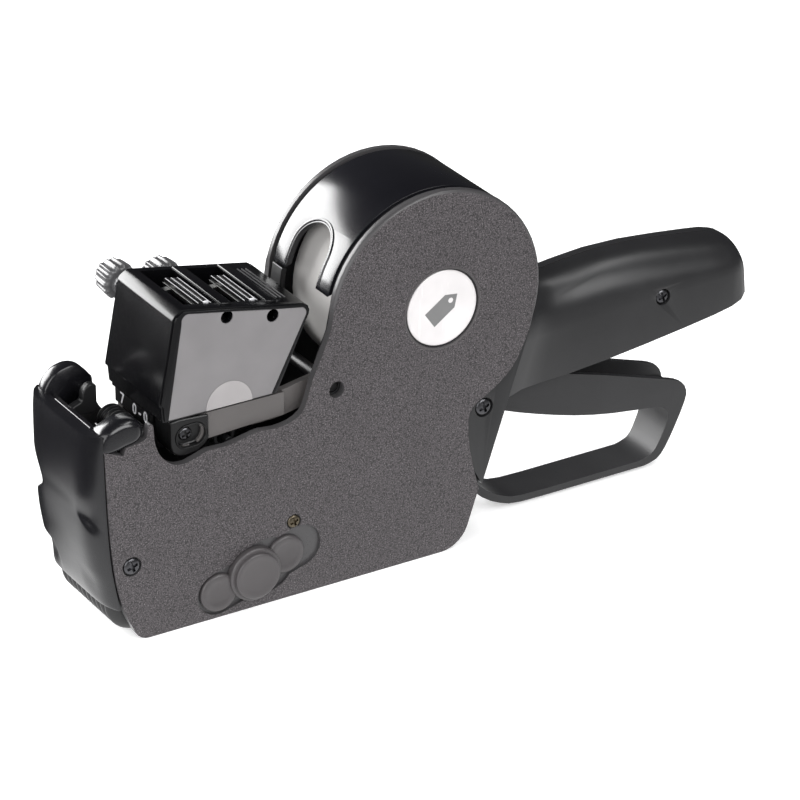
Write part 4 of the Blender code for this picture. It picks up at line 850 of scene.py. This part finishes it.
def build_head():
    """The black box of the head with its rim around the side plates, windows, cross ribs and front lip."""
    shell = slab(head_side_outline(), -HEAD_HALF_W, HEAD_HALF_W)
    inside = slab(mm((-39.4, 60), (-38.8, 94.6), (-36.4, 98.0), (1.4, 90.9), (2.4, 89.4), (-9.4, 60)),
                  -(HEAD_HALF_W - HEAD_WALL), HEAD_HALF_W - HEAD_WALL)
    cutters = [inside]
    for x0, x1 in ((-34.2, -23.4), (-18.8, -8.4)):
        cutters.append(block(x0 * MM, x1 * MM, -12.6 * MM, 14.2 * MM, 90 * MM, 102 * MM))
    for place in KNOB_AXES:
        cutters.append(disc(place, HOLE_R, 10 * MM, 18 * MM))
    for place in PLATE_HOLES:
        cutters.append(disc(place, HOLE_R, -18 * MM, -12 * MM))
    body = rounded(carve(shell, *cutters), 1.1 * MM, 5)
    rims = []
    for side in (-1, 1):
        rim = slab(inset(head_side_outline(), 0.6 * MM), side * (HEAD_HALF_W - 0.9 * MM),
                   side * (HEAD_HALF_W + 0.7 * MM), [plate_outline(side, 0.1)])
        rims.append(rounded(rim, 0.6 * MM, 4, 40))
    ribs = []
    for x0, x1 in ((-23.0, -19.2), (-8.0, -4.6)):
        outline = top_strip(x0 * MM, x1 * MM, -0.5 * MM, 0.45 * MM)
        ribs.append(rounded(slab(outline, -14.2 * MM, 15.4 * MM), 0.4 * MM, 3))
    lip = rounded(block(-43.2 * MM, -41.5 * MM, -7.2 * MM, 16.2 * MM, 64.4 * MM, 67 * MM), 0.3 * MM, 3)
    box = together(body, lip, *rims, *ribs)
    add_piece("head_housing_fine", box, "head", "print_head", ["head_housing"], 40)
    marks = []
    for x in (-3.4 * MM, -2.0 * MM, -0.6 * MM):
        marks.append(slab(top_strip(x, x + 0.35 * MM, -0.2 * MM, 0.12 * MM), -11.5 * MM, 11.5 * MM))
    add_piece("head_scale_lines", together(*marks), "knob", "print_head")


def build_head_plate(side):
    """Satin side plate; the left one has two round holes and a half-round tab."""
    node = ("left" if side < 0 else "right") + "_head_plate"
    y0, y1 = side * (HEAD_HALF_W + 0.1 * MM), side * (HEAD_HALF_W + 0.5 * MM)
    places = PLATE_HOLES if side < 0 else KNOB_AXES
    holes = [disc(place, HOLE_R, y0 - side * MM, y1 + side * MM, 32) for place in places]
    sheet = carve(slab(plate_outline(side), y0, y1), *holes)
    soften(add_piece(node + "_fine", sheet, "plate", "print_head", [node]), 0.12 * MM, 2)
    if side < 0:
        tab = arc((-22.4 * MM, 66.6 * MM), 7.6 * MM, 0, 180, 40)
        soften(add_piece("left_plate_tab", slab(tab, y1, y1 - 0.18 * MM), "tab", "print_head"), 0.08 * MM, 2)


def build_carrier():
    """The head carrier, with its dark front lug, screw pocket and seam."""
    refined("head_carrier", "carrier", 0.35 * MM, 3)
    outline = mm((-41.9, 66.0), (-42.0, 58.2), (-41.3, 55.9), (-39.6, 54.5), (-37.0, 54.0), (-33.2, 54.5),
                 (-30.4, 56.4), (-29.3, 58.0), (-29.3, 65.6), (-38.6, 66.3))
    slot_ends = mm((-36.6, 60.3), (-34.0, 60.4))
    pocket = capsule(*slot_ends, 3.4 * MM, 16)
    front = -(HEAD_HALF_W + 0.9 * MM)
    lug = carve(slab(outline, front, -7.4 * MM), slab(pocket, -15.4 * MM, front - MM))
    soften(add_piece("head_lug", lug, "lug", "print_head"), 0.75 * MM, 5)
    rim = slab(capsule(*slot_ends, 3.75 * MM, 16), front - 0.25 * MM, front + 0.6 * MM, [pocket])
    soften(add_piece("head_lug_rim", rim, "lug", "print_head"), 0.14 * MM, 3)


def build_print_line():
    """The strip of plain digits below the head's front lip."""
    front = -42.3 * MM
    strip = block(front, front + 0.8 * MM, -7.0 * MM, 16.0 * MM, 59.3 * MM, 66.5 * MM)
    soften(add_piece("print_line_strip", strip, "lug", "print_head"), 0.15 * MM, 2)
    shells = []
    for character, y, low, size in (("7", 12.6, 60.2, 5.2), ("0", 5.0, 60.1, 4.8), ("-", 1.4, 60.3, 4.8),
                                    ("0", -1.7, 60.2, 4.8)):
        text = bpy.data.curves.new("digit", "FONT")
        text.body = character
        text.size = size * MM
        text.extrude = 0.08 * MM
        text.offset = 0.05 * MM
        obj = bpy.data.objects.new("digit", text)
        bpy.context.scene.collection.objects.link(obj)
        facing = Matrix(((0, 0, -1), (-1, 0, 0), (0, 1, 0))).to_4x4()
        obj.matrix_world = Matrix.Translation((front - 0.05 * MM, y * MM, low * MM)) @ facing
        shells.append(evaluated(obj))
        drop(obj)
    add_piece("print_line_digits", together(*shells), "mark", "print_head")


def build_index_bar(prefix):
    """A ribbed bar with a pale end that slides in its window, on the CAD fork."""
    body = prefix + "_selector"
    refined(prefix + "_index_bar", "zinc", 0.15 * MM)
    axis = axis_place(prefix + "_knob_turn")
    centre = axis[0] + 10.0 * MM
    ribs, lines = [], []
    for i in range(5):
        x = centre + (i - 2) * MM
        top = head_top(x) - 0.35 * MM
        ribs.append(block(x - 0.24 * MM, x + 0.24 * MM, -12.2 * MM, 8.6 * MM, top - 1.2 * MM, top))
        if i in (0, 2, 4):
            low, high = top - 0.2 * MM, top + 0.08 * MM
            lines.append(block(x - 0.09 * MM, x + 0.09 * MM, -11.6 * MM, 8.2 * MM, low, high))
    add_piece(prefix + "_bar_ribs", together(*ribs), "lug", body)
    add_piece(prefix + "_bar_lines", together(*lines), "mark", body)
    top = head_top(centre)
    half = 2.6 * MM
    base = block(centre - half, centre + half, -12.3 * MM, 8.8 * MM, top - 2.6 * MM, top - 1.2 * MM)
    soften(add_piece(prefix + "_bar_base", base, "lug", body), 0.2 * MM, 2)
    end = block(centre - 0.3 * MM, centre + 1.3 * MM, -11.9 * MM, -11.0 * MM, top - 1.4 * MM, top + 0.15 * MM)
    soften(add_piece(prefix + "_bar_mark", end, "mark", body), 0.3 * MM, 3)


# Selector knob, in millimetres: y, mean radius and depth of its flutes there.
KNOB_PROFILE = ((19.7, 2.0, 0), (19.7, 3.9, 0), (19.8, 4.5, 0.2), (20.3, 5.05, 0.4), (21.2, 5.2, 0.45),
                (24.5, 5.05, 0.45), (27.0, 4.85, 0.42), (27.7, 4.6, 0.3), (28.0, 4.2, 0.1), (28.0, 3.4, 0),
                (27.5, 3.0, 0), (27.4, 0.01, 0))


def build_knob(prefix):
    """A crown-shaped selector knob with fine flutes, on its shaft."""
    node = prefix + "_selector_knob"
    axis = axis_place(prefix + "_knob_turn")
    flutes, around = 14, 168
    rows = []
    for y, radius, depth in KNOB_PROFILE:
        row = []
        for i in range(around):
            a = 2 * math.pi * i / around
            wave = math.cos(flutes * a)
            reach = (radius + depth * (wave if wave > -0.4 else -0.4 + 0.3 * (wave + 0.4))) * MM
            x, z = polar(axis, reach, a)
            row.append(Vector((x, y * MM, z)))
        rows.append(row)
    neck = disc(axis, 3.4 * MM, 17.6 * MM, 19.8 * MM)
    shaft = disc(axis, 1.5 * MM, -2.0 * MM, 18.0 * MM)
    collars = [disc(axis, 2.2 * MM, y * MM, (y + 1.2) * MM) for y in (2.4, 6.8)]
    mesh = together(skin(rows), neck, shaft, *collars)
    add_piece(node + "_fine", mesh, "knob", BODY_OF[node], [node], 40)


# ---------------------------------------------------------------- rollers, screws and plain pieces

def ribbed_profile(half, ribs, bore, root, crest, round_steps=5):
    """(y, radius) points of a roller with rounded ribs."""
    pitch = 2 * half / ribs
    profile = [(-half, bore)]
    for i in range(ribs):
        for j in range(round_steps + 1):
            share = j / round_steps
            profile.append((-half + pitch * (i + 0.04 + 0.92 * share),
                            root + (crest - root) * math.sin(math.pi * share) ** 0.6))
    profile.append((half, bore))
    return profile


def build_ribbed_roller(node, look, ribs, rib_depth, bore):
    low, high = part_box(node)
    crest = (high.z - low.z) / 2
    mesh = turned(ribbed_profile(high.y, ribs, bore, crest - rib_depth, crest), middle(node), 64)
    add_piece(node + "_fine", mesh, look, BODY_OF[node], [node], 70)


def build_screw(node, look, head_r, head_h):
    """A domed screw head with a cross recess, facing -Y, on its shank."""
    low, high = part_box(node)
    centre = middle(node)
    seat = low.y + head_h
    profile = [(seat, 0), (seat, head_r)]
    steps = 7
    for i in range(steps + 1):
        a = math.pi / 2 * i / steps
        profile.append((seat - head_h * (0.35 + 0.65 * math.sin(a)), head_r * (0.35 + 0.65 * math.cos(a))))
    profile.append((low.y, 0))
    arm, half, depth = 0.66 * head_r, 0.17 * head_r, 0.75 * head_h
    x, z = centre
    turn = math.radians(20)
    cutters = []
    for heading in (turn, turn + math.pi / 2):
        across = (math.cos(heading), math.sin(heading))
        corners = []
        for along, aside in ((-arm, -half), (arm, -half), (arm, half), (-arm, half)):
            corners.append((x + along * across[0] - aside * across[1],
                            z + along * across[1] + aside * across[0]))
        cutters.append(slab(corners, low.y - MM, low.y + depth))
    head = carve(turned(profile, centre, 40), *cutters)
    shank = disc(centre, 0.5 * head_r, seat - 0.05 * MM, high.y, 20)
    piece = add_piece(node + "_fine", together(head, shank), look, BODY_OF[node], [node], 50)
    soften(piece, 0.08 * MM, 2, 40)


BLACK_SCREWS = {"left_front_screw": 2.7 * MM, "trigger_pivot_screw": 2.75 * MM, "handle_screw": 2.4 * MM,
                "head_lug_screw": 2.2 * MM}

PLAIN_PIECES = {
    "frame": ("left_frame", "right_frame", "base_cover"),
    # The anvils are black as painted shade in the gap under the head carrier.
    "inner": ("left_roll_hub", "right_roll_hub", "feed_wheel", "ink_arm", "head_pivot_pin", "front_anvil",
              "rear_anvil"),
    "rubber": ("platen", "pinch_roller", "front_type_bands", "rear_type_bands"),
    "paper": ("label_roll",),
    "card": ("label_core",),
    "zinc": ("label_guide", "head_link", "feed_link", "feed_rocker", "front_band_axle", "rear_band_axle"),
    "steel": ("peel_bar", "trigger_pivot_pin", "feed_axle", "base_hinge_pin",
              "roll_cover_hinge_pin", "applicator_axle", "ink_arm_pin", "trigger_return_spring", "pinch_axle",
              "drive_pin", "ratchet_wheel", "feed_pawl", "ink_roller_axle"),
}


def build_plain_pieces():
    for look, nodes in PLAIN_PIECES.items():
        for node in nodes:
            refined(node, look)


for side in (-1, 1):
    build_cover(side)
build_nose()
for side in (-1, 1):
    build_badge(side)
build_hood()
build_latch()
build_head()
for side in (-1, 1):
    build_head_plate(side)
build_carrier()
build_print_line()
for prefix in ("front", "rear"):
    build_index_bar(prefix)
    build_knob(prefix)
for node, radius in BLACK_SCREWS.items():
    build_screw(node, "black_screw", radius, 1.35 * MM)
build_screw("base_lock_screw", "brass", 2.1 * MM, 1.1 * MM)
build_ribbed_roller("applicator_roller", "tread", 10, 1.9 * MM, 1.7 * MM)
build_ribbed_roller("ink_roller", "tread", 12, 0.6 * MM, 1.1 * MM)
refined("strip_guide_finger", "inner", 0.8 * MM, 4)
refined("trigger", "trigger", 0.5 * MM, 3)
build_plain_pieces()


# ---------------------------------------------------------------- studio

def build_floor():
    """A white floor; in reflections it is pale near the tool, and dark past the nose and behind the head."""
    mesh = bpy.data.meshes.new("floor")
    reach = 6.0
    corners = [(-reach, -reach, 0), (reach, -reach, 0), (reach, reach, 0), (-reach, reach, 0)]
    mesh.from_pydata(corners, [], [(0, 1, 2, 3)])
    floor = bpy.data.objects.new("floor", mesh)
    bpy.context.scene.collection.objects.link(floor)
    floor.location.z = CAD_BOX[0].z - 0.1 * MM
    look = Look("pale_floor")
    speckle = look.noise(30, 3.0)
    look.set(Base_Color=look.mix(look.span(speckle, 0.3, 0.7), srgb(243, 243, 243), srgb(247, 247, 247)),
             Roughness=0.9, Specular_IOR_Level=0.1)
    look.set(Emission_Color=(1, 1, 1, 1), Emission_Strength=0.30)
    ray = look.nodes.new("ShaderNodeLightPath")
    glow = look.nodes.new("ShaderNodeEmission")
    x, y = look.along("X"), look.along("Y")
    near_enough = look.span(look.math("ADD", x, look.math("MULTIPLY", y, -0.20)), -0.137, -0.126)
    beside = look.span(look.math("ADD", x, look.math("MULTIPLY", y, 0.61)), -0.060, -0.052)
    head_shadow = look.math("MULTIPLY", beside, look.span(y, 0.02, 0.05))
    lit = look.math("MULTIPLY", near_enough, look.math("SUBTRACT", 1.0, head_shadow))
    falloff = look.span(y, -0.17, -0.04, 0.45, 1.35)
    strength = look.math("MULTIPLY", look.span(lit, 0.0, 1.0, 0.03, 1.0), falloff)
    look.links.new(strength, glow.inputs["Strength"])
    choose = look.nodes.new("ShaderNodeMixShader")
    look.links.new(ray.outputs["Is Glossy Ray"], choose.inputs[0])
    look.links.new(look.shader.outputs["BSDF"], choose.inputs[1])
    look.links.new(glow.outputs["Emission"], choose.inputs[2])
    look.links.new(choose.outputs["Shader"], look.nodes["Material Output"].inputs["Surface"])
    mesh.materials.append(look.material)


def add_softbox(name, offset, size, power):
    """A rectangular soft light that faces the middle of the tool from an offset."""
    light = bpy.data.lights.new(name, "AREA")
    light.shape = "RECTANGLE"
    light.size, light.size_y = size
    light.energy = power
    lamp = bpy.data.objects.new(name, light)
    bpy.context.scene.collection.objects.link(lamp)
    lamp.location = Vector((0.03, 0.0, 0.06)) + Vector(offset)
    lamp.rotation_euler = (-Vector(offset)).to_track_quat("-Z", "Y").to_euler()
    return lamp


def build_lights():
    add_softbox("back_left_card", (-0.46, 0.86, 0.30), (0.85, 0.66), 24)
    add_softbox("overhead_strip", (0.47, -0.30, 0.84), (0.62, 0.12), 2.0)
    add_softbox("front_key", (0.35, -1.2, 0.80), (1.0, 0.7), 12.5)
    add_softbox("left_front_card", (-0.95, -0.55, 0.42), (1.3, 0.9), 11)


def build_world():
    """Pale for the camera, a soft grey fill for matte faces and nearly black in reflections."""
    world = bpy.data.worlds.new("studio")
    bpy.context.scene.world = world
    world.use_nodes = True
    nodes, links = world.node_tree.nodes, world.node_tree.links
    backdrop = nodes["Background"]
    ray = nodes.new("ShaderNodeLightPath")
    reflected, seen = nodes.new("ShaderNodeMix"), nodes.new("ShaderNodeMix")
    for mix, output, shade in ((reflected, "Is Glossy Ray", (0.045, 0.045, 0.05, 1)),
                               (seen, "Is Camera Ray", (0.92, 0.92, 0.92, 1))):
        mix.data_type = "RGBA"
        links.new(ray.outputs[output], mix.inputs["Factor"])
        mix.inputs[7].default_value = shade
    reflected.inputs[6].default_value = (0.42, 0.42, 0.43, 1)
    links.new(reflected.outputs[2], seen.inputs[6])
    links.new(seen.outputs[2], backdrop.inputs["Color"])
    backdrop.inputs["Strength"].default_value = 1.0


def build_camera():
    """A long lens from the left front, a little above."""
    data = bpy.data.cameras.new("camera")
    data.lens = 190.35
    data.sensor_width = 36.0
    data.clip_end = 20
    camera = bpy.data.objects.new("camera", data)
    bpy.context.scene.collection.objects.link(camera)
    right = Vector((0.8540, -0.5202, 0.0008))
    back = Vector((-0.4656, -0.7637, 0.4472)).normalized()
    up = back.cross(right).normalized()
    right = up.cross(back)
    turn = Matrix((right, up, back)).transposed().to_4x4()
    camera.matrix_world = Matrix.Translation((-0.5468, -0.9714, 0.6122)) @ turn
    bpy.context.scene.camera = camera


build_floor()
build_lights()
build_world()
build_camera()
bpy.context.scene.view_settings.view_transform = "Standard"
